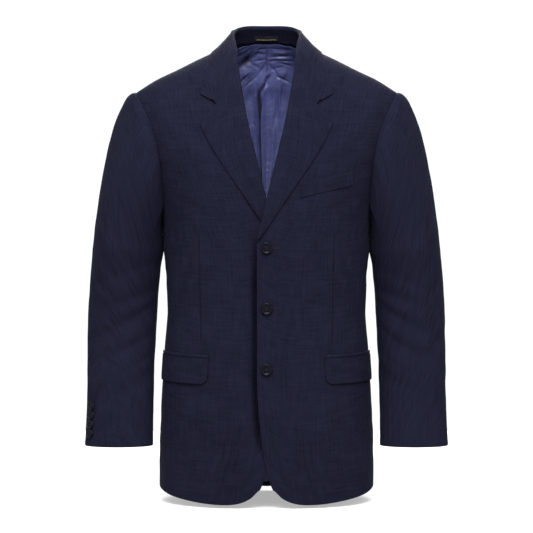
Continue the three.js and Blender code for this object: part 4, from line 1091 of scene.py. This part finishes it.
def cloth_over(x, over, raised):
    """Points of the cloth by width and by how far over the shoulder they lie."""
    level = RISE * np.minimum(over, 180 - over) / 90
    share = np.minimum(np.abs(x) / read(BODY, level, "side"), 1)
    turn = np.degrees(np.arccos(share ** (SQUARE / 2))) * np.where(over < 90, -1, 1)
    return cloth(1, turn, level, raised)[0]


def collar_grid(at):
    """Rows of the collar's left half, from the neck seam over the fold to the edge of the fall."""
    col = {name: read(COLLAR, at, name) for name in COLLAR if name not in ("by", "at", "face")}
    radius = np.full_like(at, (COLLAR_PUFF + CLOTH) / 2)
    edge_lift = mix(COLLAR_EDGE_LIFT, EDGE_LIFT, col["lies"])[:, None]
    lift = mix(edge_lift, COLLAR_PUFF, np.cos(FLAT_SHARES * math.pi / 2))
    seam = cloth_over(col["seam_x"], col["seam_over"], -CLOTH)
    tip = points(col["fold_x"], col["fold_y"], col["fold_z"])
    middle_lift = mix(edge_lift[:, 0], COLLAR_PUFF, math.cos(MIDDLE * math.pi / 2))
    middle = cloth_over(col["mid_x"], col["mid_over"], middle_lift)
    first = fold_round(seam, tip, middle, radius, np.array((90.0,)))[:, 0]
    near, past = to_middle(FLAT_SHARES)
    fall_x = mix(col["mid_x"][:, None], col["edge_x"][:, None], past)
    fall = cloth_over(fall_x, mix(col["mid_over"][:, None], col["edge_over"][:, None], past), lift)
    standing = mix(first[:, None], middle[:, None], near[None, :, None])
    top = CHEST + (read(RIDGE, col["mid_x"], "z") - CHEST) * np.sin(np.radians(col["mid_over"]))
    start_z = mix(col["fold_z"], col["edge_z"], FOLD_SHARE)
    lying_x = mix((col["fold_x"] + radius)[:, None], col["mid_x"][:, None], near)
    lying, _ = cloth_at(1, lying_x, mix(start_z[:, None], top[:, None], near), -1, lift)
    inner = mix(standing, lying, col["lies"][:, None, None])
    flat = np.where((FLAT_SHARES < MIDDLE)[None, :, None], inner, fall)
    turn = fold_round(seam, tip, flat[:, 0], radius, FOLD_ANGLES[:-1])
    return np.concatenate((seam[:, None], turn, flat), axis=1)


def softened(at, first, last, passes):
    """Evens out a grid's columns from first to last, so that a bend between straight runs turns softly."""
    at = at.copy()
    for _ in range(passes):
        run = at[:, first - 1:last + 1]
        at[:, first:last] = run[:, 1:-1] / 2 + (run[:, :-2] + run[:, 2:]) / 4
    return at


def add_collar(paint):
    """The collar from notch to notch; its ends meet the lapels point by point along the seam between them."""
    half = softened(collar_grid(COLLAR_ROWS), **SOFTENED)
    gorge = lapel_grid(1, np.array((float(ROLL_TOP),)))[0]
    shared = int(np.sum(FLAT_SHARES <= MIDDLE + 1e-6)) + len(FOLD_ANGLES)
    gap = gorge[:shared] - half[-1, :shared]
    half[:, :shared] += gap * ease(GORGE_STARTS, GORGE, COLLAR_ROWS)[:, None, None]
    grid = np.concatenate(((half * (-1, 1, 1))[:0:-1], half))
    out = face_out(grid, -1)
    uneven = ripple(lengths(grid, 0), lengths(grid, 1), COLLAR_UNEVEN)
    rolled = (turned_in(edge_distance(grid, left=False, low=False, high=False), *ROLLED_EDGE)
              + turned_in(edge_distance(grid, left=False, right=False), SEWN_END))
    moved = rolled + uneven * ease(*LAPEL_CALM, edge_distance(grid, left=False))
    piece = shell("collar_cloth", 1, drawn_in(grid - out * moved[..., None]), out, CLOTH,
                  COLLAR_CUT["from_roll"])
    declare(piece, ["collar"], paint)


add_collar(plain_linen)

# Back lining
# Two halves of bright blue satin hang inside the back, sewn at the neck, the shoulders and the sides.
# A pleat gives ease beside the middle, and the loose cloth creases across the neck and below it.
LINING = 0.6
LINING_SEAT = 2.1
LINING_LEAST = 2.2
# It stands off the back by its room, hangs loose from there, and hangs less loose just under the neck
LINING_ROOM = {"deep": 1.9, "full_at": 0.22}
NECK_ROOM = {"deep": 3, "heights": (-90, -30)}
LOOSE = {"deep": 6, "across": (0.3, 0.8), "less": 0.6, "less_at": (-60, -15)}
LINING_BOTTOM = 0.02
LINING_HEM_ROWS = (0, 0.001, 0.003, 0.006)
LINING_HEM = 0.012
LINING_STEPS = np.concatenate((np.arange(0.25, 3, 0.16), np.arange(3, 6, 0.026), np.arange(6, 8.9, 0.16),
                               (8.93, 8.96, 8.98, 9)))
LINING_ACROSS = np.concatenate(((0.005, 0.012, 0.02), np.linspace(0.035, 0.6, 16), np.linspace(0.63, 0.77, 8),
                                np.linspace(0.78, 1, 42)))
LINING_UNEVEN = {"apart": 40, "deep": 0.4, "seed": 71}
LINING_CALM = {"side": (0, 14), "neck": (24, 31)}
# Crease depths in millimetres over which painted shade sets in
LINING_SHADED_FOLD_DEPTHS = (1.6, 6.5)
LINING_CUT = {"flat": (0.24, 0.78), "area": 0.139, "from_roll": (2200, 0)}
PLEAT = table(
    "z wide",
    (-780, 3), (-420, 5), (-300, 8), (-240, 8), (-167, 9.5), (-127, 11), (-98, 9.5), (-80, 7.5), (-57, 4),
    (-37, 1.2), (-20, 0.4), (40, 0.4),
)
PLEAT_ENDS = (0.5, 4)
PLEAT_OPEN = (0, 5)
PLEAT_SEAT = 0.2
PLEAT_ACROSS = np.array((0.2, 0.4, 0.6, 0.78, 0.9, 0.97, 1.0, 1.0, 0.96, 0.85, 0.6, 0.4))
PLEAT_IN = np.array((0.5, 1.2, 1.9, 2.4, 2.7, 2.5, 2.0, 1.5, 1.1, 1.0, 0.9, 0.8))
LINING_FOLDS = table(
    "x z long wide angle deep side",
    (40, 16, 9, 1.5, 3, 2.0, 1), (28, 3.5, 19, 1.6, 2, 2.2, 1), (38, -4.5, 11, 1.5, -4, 2.0, 1),
    (14, -4.5, 8, 1.6, 6, 1.7, 1), (30, 10, 20, 2.2, 0, -1.6, 1), (36, -0.5, 16, 1.6, 0, -1.3, 1),
    (40, 22, 12, 2.5, 0, -1.4, 1), (36, -11, 14, 2.2, -12, 1.5, 1), (16, 17, 9, 1.6, -8, 1.5, 1),
    (22, -17, 14, 2.4, 14, 1.3, 1), (33, -27, 9, 6, 30, -2.4, 1), (30, -37, 13, 2, -25, 2.0, 1),
    (-5.5, -52, 15, 2.8, 62, 5.5, 0), (3, -35, 7, 2.4, 50, 3.2, 0), (0.5, -6, 20, 1.1, 90, 2.2, 0),
    (12, -20, 12, 2, -50, 1.9, 1), (-8, -20, 12, 2, 55, 1.9, -1), (24.5, -85, 36, 1.9, 90, -1.9, 1),
    (20, -88, 32, 2.2, 92, 1.3, 1),
    (31, -60, 26, 3, 78, 1.8, 1), (12, -140, 60, 5, 93, -1.3, 1), (16, -190, 50, 4, 88, 1.4, 1),
    (6, -215, 40, 3, 84, -1.4, 1), (8, -70, 24, 3, 100, 1.2, 1), (14, -118, 30, 3, 80, 1.1, 1),
    (-37.5, -4.5, 21, 6.5, 37, 6.5, -1), (-44, 10, 14, 2.4, 30, 1.6, -1), (-44, 14, 12, 3, 30, -1.9, -1),
    (-38, 24, 12, 2, 20, -1.4, -1), (-22, 10, 16, 3, 50, -2.0, -1), (-37, -27, 12, 7, 30, -3.2, -1),
    (-31, -66, 16, 8, 80, 2.8, -1), (-46, -40, 14, 2, 45, 2.2, -1), (-30, -42, 13, 2, 40, 1.6, -1),
    (-13, -86, 27, 4, 94, 7.5, -1), (-12, -150, 60, 2.6, 91, 5.5, -1), (-9, -215, 40, 2.4, 89, 4.5, -1),
    (-20, -104, 52, 2.2, 90, -2.6, -1), (-34, -118, 30, 5, 98, -1.6, -1),
    (-28, -150, 40, 3, 94, 1.7, -1), (-22, -190, 50, 4, 92, -1.7, -1), (-14, -215, 40, 2.4, 90, 1.6, -1),
    (-8, 16.5, 8, 1.5, 2, 1.9, -1), (-12, 8, 10, 1.8, -6, 1.6, -1), (-14, -4, 12, 2, 10, 1.4, -1),
    (-24, -12, 12, 2.2, -30, 1.5, -1), (-60, -90, 60, 8, 80, 1.6, -1), (66, -100, 60, 8, 96, 1.6, 1),
)


def add_lining(side, word, paint):
    """One half of the back lining; the left one goes on into the flap of the pleat."""
    ups = ups_below()
    ups = np.concatenate((LINING_BOTTOM + np.array(LINING_HEM_ROWS), ups[ups > LINING_BOTTOM + LINING_HEM]))
    at, out = cloth(side, *back_spots(ups, LINING_STEPS, LINING_ACROSS))
    room = LINING_ROOM["deep"] + NECK_ROOM["deep"] * ease(*NECK_ROOM["heights"], at[..., 2])
    less = 1 - LOOSE["less"] * ease(*LOOSE["less_at"], at[..., 2])
    loose = LOOSE["deep"] * ease(*LOOSE["across"], LINING_ACROSS) * less
    inside = LINING_SEAT + room * np.clip(LINING_ACROSS / LINING_ROOM["full_at"], 0, 1) + loose
    if side > 0:
        middle = at[:, -1:]
        z = np.tile(middle[..., 2], (1, len(PLEAT_ACROSS)))
        wide = read(PLEAT, z, "wide") * (1 - ease(*PLEAT_ENDS, middle[..., 0]))
        flap, flap_out = cloth_at(side, middle[..., 0] - wide * PLEAT_ACROSS, z, 1)
        at = np.concatenate((at, flap), axis=1)
        out = np.concatenate((out, flap_out), axis=1)
        flap_in = inside[:, -1:] + PLEAT_SEAT + PLEAT_IN * ease(*PLEAT_OPEN, wide)
        inside = np.concatenate((inside, flap_in), axis=1)
    x, z = at[..., 0], at[..., 2]
    creases = dents(LINING_FOLDS, side, x * side, z)
    calm = ease(*LINING_CALM["side"], lengths(at, 1)) * (1 - ease(*LINING_CALM["neck"], z))
    inside = np.maximum(inside - (creases + ripple(x, z, LINING_UNEVEN, side)) * calm, LINING_LEAST)
    # The deepest creases are passed on for the satin to darken as painted shade.
    piece = shell(f"{word}_back_lining_cloth", side, at - out * inside[..., None], out, LINING,
                  LINING_CUT["from_roll"], crease_shade=ease(*LINING_SHADED_FOLD_DEPTHS, creases * calm))
    declare(piece, [f"{word}_back_lining"], paint)


SATIN_LOW = (0.015, 0.018, 0.056, 1)
SATIN_HIGH = (0.042, 0.047, 0.128, 1)
# Near-black blue for the painted shade in the deepest creases
SATIN_CREASE_SHADE = (0.0006, 0.0010, 0.0055, 1)


def satin(name):
    """Bright blue satin: smooth, with a soft sheen, a fine grain along its length, small crumples and painted
    shade in its deep creases.
    """
    paint, shader, weave, where = new_paint(name, roughness=0.4, specular=0.25, sheen=0.12,
                                            sheen_roughness=0.3, sheen_tint=(0.55, 0.6, 1.0))
    grain = weave.stretched(1500, 60).noise(1.0)
    crumple = weave.noise(95.0, 3.0, 0.55)
    broad = where.noise(22.0, 2.0)
    tone = 0.5 + (grain - 0.5) * 0.25 + (crumple - 0.5) * 0.6 + (broad - 0.5) * 0.8
    # Deep creases take a near-black colour as painted shade, and a rougher finish so that they reflect less.
    crease_shade = weave.stored("crease_shade")
    paint.node_tree.links.new((0.4 + crease_shade * 0.5).socket, shader.inputs["Roughness"])
    colour = crease_shade.tinted(tone.tinted(SATIN_LOW, SATIN_HIGH), SATIN_CREASE_SHADE)
    return finish_paint(paint, shader, colour, grain * 0.03 + crumple * 1.2)


blue_satin = satin("blue_satin")
for side, word in SIDES:
    add_lining(side, word, blue_satin)

# Neck label
# A bare woven label with a gold edge is sewn to the inside of the collar stand, at the middle of the back.
LABEL = {"width": 42, "low": 0.1, "high": 0.5, "turn": 0.02, "thick": 0.6, "raised": 1.6}
LABEL_NAVY = (0.004, 0.004, 0.008, 1)
LABEL_GOLD = (0.13, 0.105, 0.055, 1)
GOLD_LINE = {"up": 0.0022, "wide": (0.0004, 0.0008), "from_ends": (0.003, 0.0036)}
LABEL_THREAD = 0.0006


def woven(name):
    """Dark label cloth with a fine rib and one thin gold line above its lower edge."""
    paint, shader, weave, _ = new_paint(name, roughness=0.7, specular=0.1, sheen=0.02)
    u, v, _ = weave.parts()
    from_end = 0.5 * LABEL["width"] * MM - (u - 0.5 * LABEL["width"] * MM).size()
    line = 1 - (v - GOLD_LINE["up"]).size().band(*GOLD_LINE["wide"])
    wave = 2 * math.pi / LABEL_THREAD
    rib = (u * wave).cosine() * (v * wave).cosine()
    tone = (line * from_end.band(*GOLD_LINE["from_ends"])).tinted(LABEL_NAVY, LABEL_GOLD)
    return finish_paint(paint, shader, tone, rib * 0.06)


def add_label(paint):
    """The label, a little raised on the inner side of the collar stand."""
    reach = LABEL["width"] / 2 / COLLAR["seam_x"][1]
    ats = np.linspace(-reach, reach, 43)
    rows = collar_grid(np.abs(ats))
    seam, stand = rows[:, 0], rows[:, 1]
    low, high, turn = LABEL["low"], LABEL["high"], LABEL["turn"]
    ups = np.array((low, low + turn, 0.2, 0.3, 0.4, high - turn, high))
    at = mix(seam[None], stand[None], ups[:, None, None])
    at[..., 0] *= np.where(ats < 0, -1.0, 1.0)
    out = face_out(at, 1)
    piece = shell("neck_label_cloth", 1, at + out * LABEL["raised"], out, LABEL["thick"])
    declare(piece, ["neck_label"], paint)


add_label(woven("woven_label"))

# Breast welt
# A slanting band of linen stands over the mouth of the breast pocket.
# It is open along its top, sewn down at its other edges, and pressed flat.
WELT = {"left": 57, "right": 147, "top_left": -241, "top_right": -217.5, "high": 24, "pitch": 3.0,
        "lift": 2.1, "sewn": 1.0, "thin": 0.75, "thick": 1.2}
WELT_EDGE = (0.6, 1.8)
WELT_TOP = 0.35
WELT_UNEVEN = {"apart": 30, "deep": 0.08, "seed": 61}
WELT_CALM = (1, 6)
WELT_CUT = {"flat": (0.096, 0.025), "area": 0.0023, "from_roll": (60, 5)}


def add_welt(paint):
    """The welt, which stands a little higher and is thicker towards its open top."""
    across = shares(WELT["right"] - WELT["left"], PITCH)[None]
    up = shares(WELT["high"], WELT["pitch"])[:, None]
    x = mix(WELT["left"], WELT["right"], across + 0 * up)
    z = mix(WELT["top_left"], WELT["top_right"], across) - WELT["high"] * (1 - up)
    lift = mix(WELT["sewn"], WELT["lift"], ease(0.1, 1, up))
    at, out = cloth_at(1, x, z, -1, lift)
    rolled = (turned_in(edge_distance(at, high=False), *WELT_EDGE)
              + turned_in(edge_distance(at, False, False, False), WELT_TOP))
    moved = rolled + ripple(x, z, WELT_UNEVEN) * ease(*WELT_CALM, edge_distance(at))
    thick = mix(WELT["thin"], WELT["thick"], ease(0, 1, up))
    piece = shell("breast_welt_cloth", 1, at - out * moved[..., None], out, thick, WELT_CUT["from_roll"])
    declare(piece, ["breast_welt"], paint)


add_welt(plain_linen)

# Hip pockets
# Each pocket mouth is bound with a narrow linen jetting, and a flap hangs out from under it.
# The flap is cut with rounded corners and lies over the seam between the front and the side body.
HIP = {"front": -60, "side": -4, "front_z": -533.5, "side_z": -529.5, "long": 150}
FLAP = {"deep": 44.5, "corner": 14, "lift": 3.0, "pitch_across": 3.4, "pitch_down": 3.0, "edge": (0.6, 1.8)}
FLAP_CALM = (2, 10)
FLAP_CUT = {"flat": (0.15, 0.045), "area": 0.0065, "from_roll": (120, 40)}
JETTING = {"high": 5.5, "lift": 2.6, "thick": 1.3, "edge": (0.8, 1.9), "thinner": 0.4}
JETTING_ROWS = (0, 0.08, 0.2, 0.38, 0.6, 0.8, 0.93, 1)
JETTING_CUT = {"flat": (0.135, 0.010), "area": 0.0011, "from_roll": (90, 20)}
FLAP_FOLDS = table(
    "x z long wide angle deep side",
    (120, -558, 30, 7, 12, 0.5, 1), (150, -566, 22, 9, -20, 0.5, 1), (106, -546, 22, 8, 34, 0.4, 1),
    (136, -552, 30, 7, -14, 0.5, -1), (112, -564, 26, 8, 20, 0.5, -1), (164, -560, 16, 10, 60, 0.4, -1),
)


def pocket_spots(across, drop):
    """Turns and levels along a pocket mouth, a drop in millimetres below it."""
    turn = mix(HIP["front"], HIP["side"], across)
    return turn, mix(HIP["front_z"], HIP["side_z"], across) - drop - CHEST


def add_flap(side, word, paint):
    """One pocket flap, hanging from its mouth."""
    across = shares(HIP["long"], FLAP["pitch_across"])[None]
    inset = np.maximum(FLAP["corner"] - np.minimum(across, 1 - across) * HIP["long"], 0)
    deep = FLAP["deep"] - FLAP["corner"] + np.sqrt(FLAP["corner"] ** 2 - inset ** 2)
    down = 1 - shares(FLAP["deep"], FLAP["pitch_down"])[:, None]
    at, out = cloth(side, *pocket_spots(across, SEAM + down * deep), FLAP["lift"])
    far = edge_distance(at, high=False)
    moved = dents(FLAP_FOLDS, side, at[..., 0], at[..., 2]) * ease(*FLAP_CALM, far)
    moved = turned_in(far, *FLAP["edge"]) + moved
    flap = shell(f"{word}_flap_cloth", side, at - out * moved[..., None], out, CLOTH, FLAP_CUT["from_roll"])
    declare(flap, [f"{word}_flap"], paint)


def add_jetting(side, word, paint):
    """The strip above a pocket's mouth; it is thinner where its edges turn in."""
    across = shares(HIP["long"], FLAP["pitch_across"])[None]
    up = np.array(JETTING_ROWS)[:, None]
    at, out = cloth(side, *pocket_spots(across, -JETTING["high"] * up), JETTING["lift"])
    moved = turned_in(edge_distance(at), *JETTING["edge"])
    thick = JETTING["thick"] - moved * JETTING["thinner"]
    strip = shell(f"{word}_jetting_cloth", side, at - out * moved[..., None], out, thick,
                  JETTING_CUT["from_roll"])
    declare(strip, [f"{word}_jetting"], paint)


for side, word in SIDES:
    add_flap(side, word, plain_linen)
    add_jetting(side, word, plain_linen)

# Buttonholes
# Three buttonholes are worked in thread through the left front, each from its button away from the edge.
# Close upright stitches cover both lips of the slit and fan round its two ends.
FRONT_BUTTONS = {"top": -348, "apart": 102, "count": 3, "seat": 0.9}
BUTTONHOLE = {"start": -2.5, "end": 21, "lip": 1.15, "raised": 0.1}
STITCH = {"Spacing": 0.62 * MM, "Length": 2.3 * MM, "Thickness": 0.62 * MM, "Unevenness": 0.12}
BEAD = {"Segments": 8, "Rings": 6, "Radius": 0.5}


def stitch_nodes(paint):
    """A node tree that sets one stitch after another along a line and turns each across it."""
    tree = bpy.data.node_groups.new("stitched_line", "GeometryNodeTree")
    kinds = {"Geometry": "Geometry", **dict.fromkeys(STITCH, "Float"), "Seed": "Int"}
    sockets = {}
    for name, kind in kinds.items():
        socket = tree.interface.new_socket(name, in_out="INPUT", socket_type=f"NodeSocket{kind}")
        sockets[name] = socket.identifier
    tree.interface.new_socket("Geometry", in_out="OUTPUT", socket_type="NodeSocketGeometry")

    def node(kind, inputs=(), output=0, **settings):
        made = tree.nodes.new(kind)
        for name, value in settings.items():
            setattr(made, name, value)
        for name, value in dict(inputs).items():
            if isinstance(value, bpy.types.NodeSocket):
                tree.links.new(value, made.inputs[name])
            else:
                made.inputs[name].default_value = value
        return made.outputs[output] if made.outputs else None

    def maths(operation, first, second):
        return node("ShaderNodeMath", {0: first, 1: second}, operation=operation)

    def stored(name):
        return node("GeometryNodeInputNamedAttribute", {"Name": name}, data_type="FLOAT_VECTOR")

    given = tree.nodes.new("NodeGroupInput").outputs
    line = node("GeometryNodeMeshToCurve", {"Mesh": given["Geometry"]})
    spots = node("GeometryNodeResampleCurve", {"Curve": line, "Length": given["Spacing"]}, mode="LENGTH")
    turn = node("FunctionNodeAxesToRotation", {0: stored("across"), 1: stored("out")},
                primary_axis="X", secondary_axis="Z")
    low, high = maths("SUBTRACT", 1.0, given["Unevenness"]), maths("ADD", 1.0, given["Unevenness"])
    uneven = node("FunctionNodeRandomValue", {2: low, 3: high, "Seed": given["Seed"]}, output=1)
    long = maths("MULTIPLY", given["Length"], uneven)
    size = node("ShaderNodeCombineXYZ", {0: long, 1: given["Thickness"], 2: given["Thickness"]})
    bead = node("GeometryNodeMeshUVSphere", BEAD)
    row = node("GeometryNodeInstanceOnPoints",
               {"Points": spots, "Instance": bead, "Rotation": turn, "Scale": size})
    solid = node("GeometryNodeRealizeInstances", {"Geometry": row})
    shaded = node("GeometryNodeSetShadeSmooth", {"Geometry": solid})
    painted = node("GeometryNodeSetMaterial", {"Geometry": shaded, "Material": paint})
    node("NodeGroupOutput", {"Geometry": painted})
    return tree, sockets


def baked(item, modifier):
    """The plain mesh that an object's modifier makes; the modifier and the object are then removed."""
    mesh = bpy.data.meshes.new_from_object(item.evaluated_get(bpy.context.evaluated_depsgraph_get()))
    item.modifiers.remove(modifier)
    bpy.data.objects.remove(item)
    return mesh


def stitched_line(name, nodes, path, across, out, seed):
    """Stitches along a path in millimetres, baked to a plain mesh."""
    tree, sockets = nodes
    mesh = bpy.data.meshes.new(f"{name}_line")
    mesh.from_pydata((path * MM).tolist(), [(k, k + 1) for k in range(len(path) - 1)], [])
    for attribute, ways in (("across", across), ("out", out)):
        stored = mesh.attributes.new(attribute, "FLOAT_VECTOR", "POINT")
        stored.data.foreach_set("vector", unit(ways).reshape(-1))
    line = add_item(f"{name}_line", mesh)
    rule = line.modifiers.new("stitches", "NODES")
    rule.node_group = tree
    for key, value in STITCH.items():
        rule[sockets[key]] = value
    rule[sockets["Seed"]] = seed
    return add_item(name, baked(line, rule))


def front_surface(side, x, z, raised):
    """Points on the finished surface of a front, with the dents and the unevenness that it has there."""
    calm = ease(*FRONT_CALM, x - front_edge(z))
    sink = (dents(FRONT_FOLDS, side, x, z) + ripple(x, z, FRONT_UNEVEN, side)) * calm
    return cloth_at(side, x, z, -1, raised - sink)


def add_buttonhole(number, nodes):
    """One buttonhole: two lips, with a fan of stitches round each end."""
    z = FRONT_BUTTONS["top"] - (number - 1) * FRONT_BUTTONS["apart"]
    start, end, lip = BUTTONHOLE["start"], BUTTONHOLE["end"], BUTTONHOLE["lip"]
    run = np.linspace(start, end, 24)
    fan = np.radians(np.linspace(90, -90, 9)[1:-1])
    x = np.concatenate((run, end + lip * np.cos(fan), run[::-1], start - lip * np.cos(fan)))
    up = np.concatenate((np.full(24, lip), lip * np.sin(fan), np.full(24, -lip), -lip * np.sin(fan)))
    at, out = front_surface(1, x, z + up, BUTTONHOLE["raised"])
    centre, _ = front_surface(1, np.clip(x, start, end), z + 0 * up, BUTTONHOLE["raised"])
    piece = stitched_line(f"buttonhole_{number}", nodes, at, at - centre, out, number)
    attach(piece, "root")


THREAD_LOW = (0.0022, 0.0023, 0.0058, 1)
THREAD_HIGH = (0.006, 0.0064, 0.0145, 1)


def thread(name):
    """Dull navy sewing thread with a fine twist."""
    paint, shader, _, where = new_paint(name, roughness=0.8, specular=0.05, sheen=0.02)
    twist = where.stretched(900, 900, 2600).noise(1.0)
    return finish_paint(paint, shader, twist.tinted(THREAD_LOW, THREAD_HIGH), twist * 0.05)


navy_thread = thread("navy_thread")
buttonhole_nodes = stitch_nodes(navy_thread)
for number in range(1, FRONT_BUTTONS["count"] + 1):
    add_buttonhole(number, buttonhole_nodes)

# Buttons
# Dark polished horn discs with a rounded rim, a shallow dish and four holes, sewn on with crossed thread.
# Three close the fronts, and four sit close together beside each cuff opening.
FRONT_BUTTON = {"across": 20, "thick": 3.6}
CUFF_BUTTON = {"across": 15, "thick": 3}
CUFF_BUTTONS = {"bottom": -666, "apart": 15.6, "count": 4, "from_seam": 11, "seat": 0.5}
BUTTON_SECTION = table(
    "step out up",
    (0, 0, 0), (1, 0.5, 0), (2, 0.84, 0.02), (3, 0.955, 0.18), (4, 1, 0.48), (5, 0.97, 0.8), (6, 0.89, 0.98),
    (7, 0.79, 0.97), (8, 0.70, 0.78), (9, 0.6, 0.65), (10, 0.4, 0.61), (11, 0, 0.6),
)
BUTTON_SIDES = 64
BUTTON_RINGS = 34
HOLE = {"spread": 0.17, "across": 0.11, "sides": 16}
# The crossed thread: how fine it is made, how far it stands up, and how far its ends go down into the holes
CROSSED = {"points": 17, "sides": 6, "round": 0.27, "apart": 0.5, "over": 0.3, "high": 0.55, "sinks": 0.35,
           "from": 0.1, "to": 0.6, "ends": 0.92}


def revolved(section, sides):
    """A closed mesh turned about Y from a section of (out, up) points that starts and ends on the axis."""
    angles = np.arange(sides) * 2 * math.pi / sides
    rings = [points(out * np.cos(angles), up, out * np.sin(angles)) for out, up in section[1:-1]]
    first, final = ([[0, section[end][1], 0]] for end in (0, -1))
    vertices = np.concatenate([first] + rings + [final])
    last, faces = len(vertices) - 1, []
    for k in range(sides):
        following = (k + 1) % sides
        faces.append((0, 1 + k, 1 + following))
        for ring in range(len(rings) - 1):
            a, b = 1 + ring * sides, 1 + (ring + 1) * sides
            faces.append((a + k, b + k, b + following, a + following))
        top = 1 + (len(rings) - 1) * sides
        faces.append((last, top + following, top + k))
    return vertices, faces


def button_mesh(size):
    """One button about the origin, its face towards +Y, with its four holes cut through."""
    steps = np.linspace(0, BUTTON_SECTION["step"][-1], BUTTON_RINGS)
    out, up = (read(BUTTON_SECTION, steps, name) for name in ("out", "up"))
    section = [(o * size["across"] / 2, u * size["thick"]) for o, u in zip(out, up)]
    vertices, faces = revolved(section, BUTTON_SIDES)
    disc = bpy.data.meshes.new("disc")
    disc.from_pydata((vertices * MM).tolist(), [], faces)
    bore, spread = HOLE["across"] * size["across"] / 2, HOLE["spread"] * size["across"]
    pin = [(0, -size["thick"]), (bore, -size["thick"]), (bore, 2 * size["thick"]), (0, 2 * size["thick"])]
    pin_vertices, pin_faces = revolved(pin, HOLE["sides"])
    pins, pin_sides = [], []
    for x, z in ((1, 1), (1, -1), (-1, 1), (-1, -1)):
        pin_sides += [tuple(index + len(pins) * len(pin_vertices) for index in face) for face in pin_faces]
        pins.append(pin_vertices + (x * spread, 0, z * spread))
    drill = bpy.data.meshes.new("drill")
    drill.from_pydata((np.concatenate(pins) * MM).tolist(), [], pin_sides)
    blank, tool = add_item("disc", disc), add_item("drill", drill)
    cut = blank.modifiers.new("holes", "BOOLEAN")
    cut.object = tool
    drilled = baked(blank, cut)
    bpy.data.objects.remove(tool)
    return drilled


def seated(vertices, at, out):
    """Turns points from about +Y to face out, and moves them to a place."""
    turn = np.array(Vector((0, 1, 0)).rotation_difference(Vector(out)).to_matrix())
    return vertices @ turn.T + at


def cross_threads(size):
    """Two crossing bundles of thread over the middle of a button, as a mesh about the origin."""
    spread, sides = HOLE["spread"] * size["across"], CROSSED["sides"]
    run = np.linspace(-1, 1, CROSSED["points"])
    over = CROSSED["to"] * size["thick"] + CROSSED["high"] - CROSSED["sinks"] * run ** 4
    up = np.where(np.abs(run) > CROSSED["ends"], CROSSED["from"] * size["thick"], over)
    vertices, faces = [], []
    for lean in (1, -1):
        for beside in np.array((-0.5, 0, 0.5)) * CROSSED["apart"]:
            lifted = up + (CROSSED["over"] if lean > 0 else 0)
            middle = points(run * spread + beside, lifted, run * spread * lean - beside * lean)
            way = unit(np.gradient(middle, axis=0))
            across = unit(np.cross(way, (0, 1, 0)))
            other = np.cross(across, way)
            start = len(vertices)
            for k in range(len(run)):
                for a in np.arange(sides) * 2 * math.pi / sides:
                    ring = across[k] * math.cos(a) + other[k] * math.sin(a)
                    vertices.append(middle[k] + CROSSED["round"] * ring)
            for k in range(len(run) - 1):
                low = start + sides * k
                for a in range(sides):
                    b = (a + 1) % sides
                    faces.append((low + a, low + b, low + sides + b, low + sides + a))
            faces.append(tuple(range(start + sides - 1, start - 1, -1)))
            faces.append(tuple(range(len(vertices) - sides, len(vertices))))
    return np.array(vertices), faces


def add_button(name, mesh, threads, at, out, horn):
    """One button with the thread that sews it on, seated at a place and facing out."""
    button_data = mesh.copy()
    corners = np.empty(len(button_data.vertices) * 3)
    button_data.vertices.foreach_get("co", corners)
    button_data.vertices.foreach_set("co", seated(corners.reshape(-1, 3), at * MM, out).reshape(-1))
    smooth(button_data, 50)
    piece = add_item(f"{name}_horn", button_data)
    piece.data.materials.clear()
    declare(piece, [name], horn)
    vertices, faces = threads
    sewn_data = bpy.data.meshes.new(f"{name}_thread")
    sewn_data.from_pydata((seated(vertices, at, out) * MM).tolist(), [], faces)
    smooth(sewn_data)
    sewn = add_item(f"{name}_thread", sewn_data)
    sewn.data.materials.append(navy_thread)
    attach(sewn, "root")


HORN_LOW = (0.0008, 0.0009, 0.0018, 1)
HORN_HIGH = (0.0028, 0.0029, 0.0050, 1)


def horn(name):
    """Near-black horn with faint lighter streaks and a polish."""
    paint, shader, _, where = new_paint(name, roughness=0.26, specular=0.05)
    streak = where.stretched(160, 160, 420).noise(1.0, 3.0)
    return finish_paint(paint, shader, streak.tinted(HORN_LOW, HORN_HIGH), streak * 0.02)


dark_horn = horn("dark_horn")
front_disc, cuff_disc = button_mesh(FRONT_BUTTON), button_mesh(CUFF_BUTTON)
front_threads, cuff_threads = cross_threads(FRONT_BUTTON), cross_threads(CUFF_BUTTON)
for number in range(FRONT_BUTTONS["count"]):
    height = FRONT_BUTTONS["top"] - number * FRONT_BUTTONS["apart"]
    at, out = cloth_at(1, 0.01, height, -1, FRONT_BUTTONS["seat"])
    add_button(f"front_button_{number + 1}", front_disc, front_threads, at, out, dark_horn)

AROUND = ((0, 0), (1, 0), (-1, 0), (0, 1), (0, -1))
for side, word in SIDES:
    for number in range(CUFF_BUTTONS["count"]):
        height = CUFF_BUTTONS["bottom"] + number * CUFF_BUTTONS["apart"]
        round_it = float(round_at(HIND_SEAM) + turned(word, height)) - 360 + CUFF_BUTTONS["from_seam"]
        near = [ring_point(side, round_it + a, np.float64(height + b)) for a, b in AROUND]
        out = unit(np.cross(near[3] - near[4], near[1] - near[2]))
        at = near[0] + out * CUFF_BUTTONS["seat"]
        add_button(f"{word}_cuff_button_{number + 1}", cuff_disc, cuff_threads,
                   at * (side, 1, 1), out * (side, 1, 1), dark_horn)
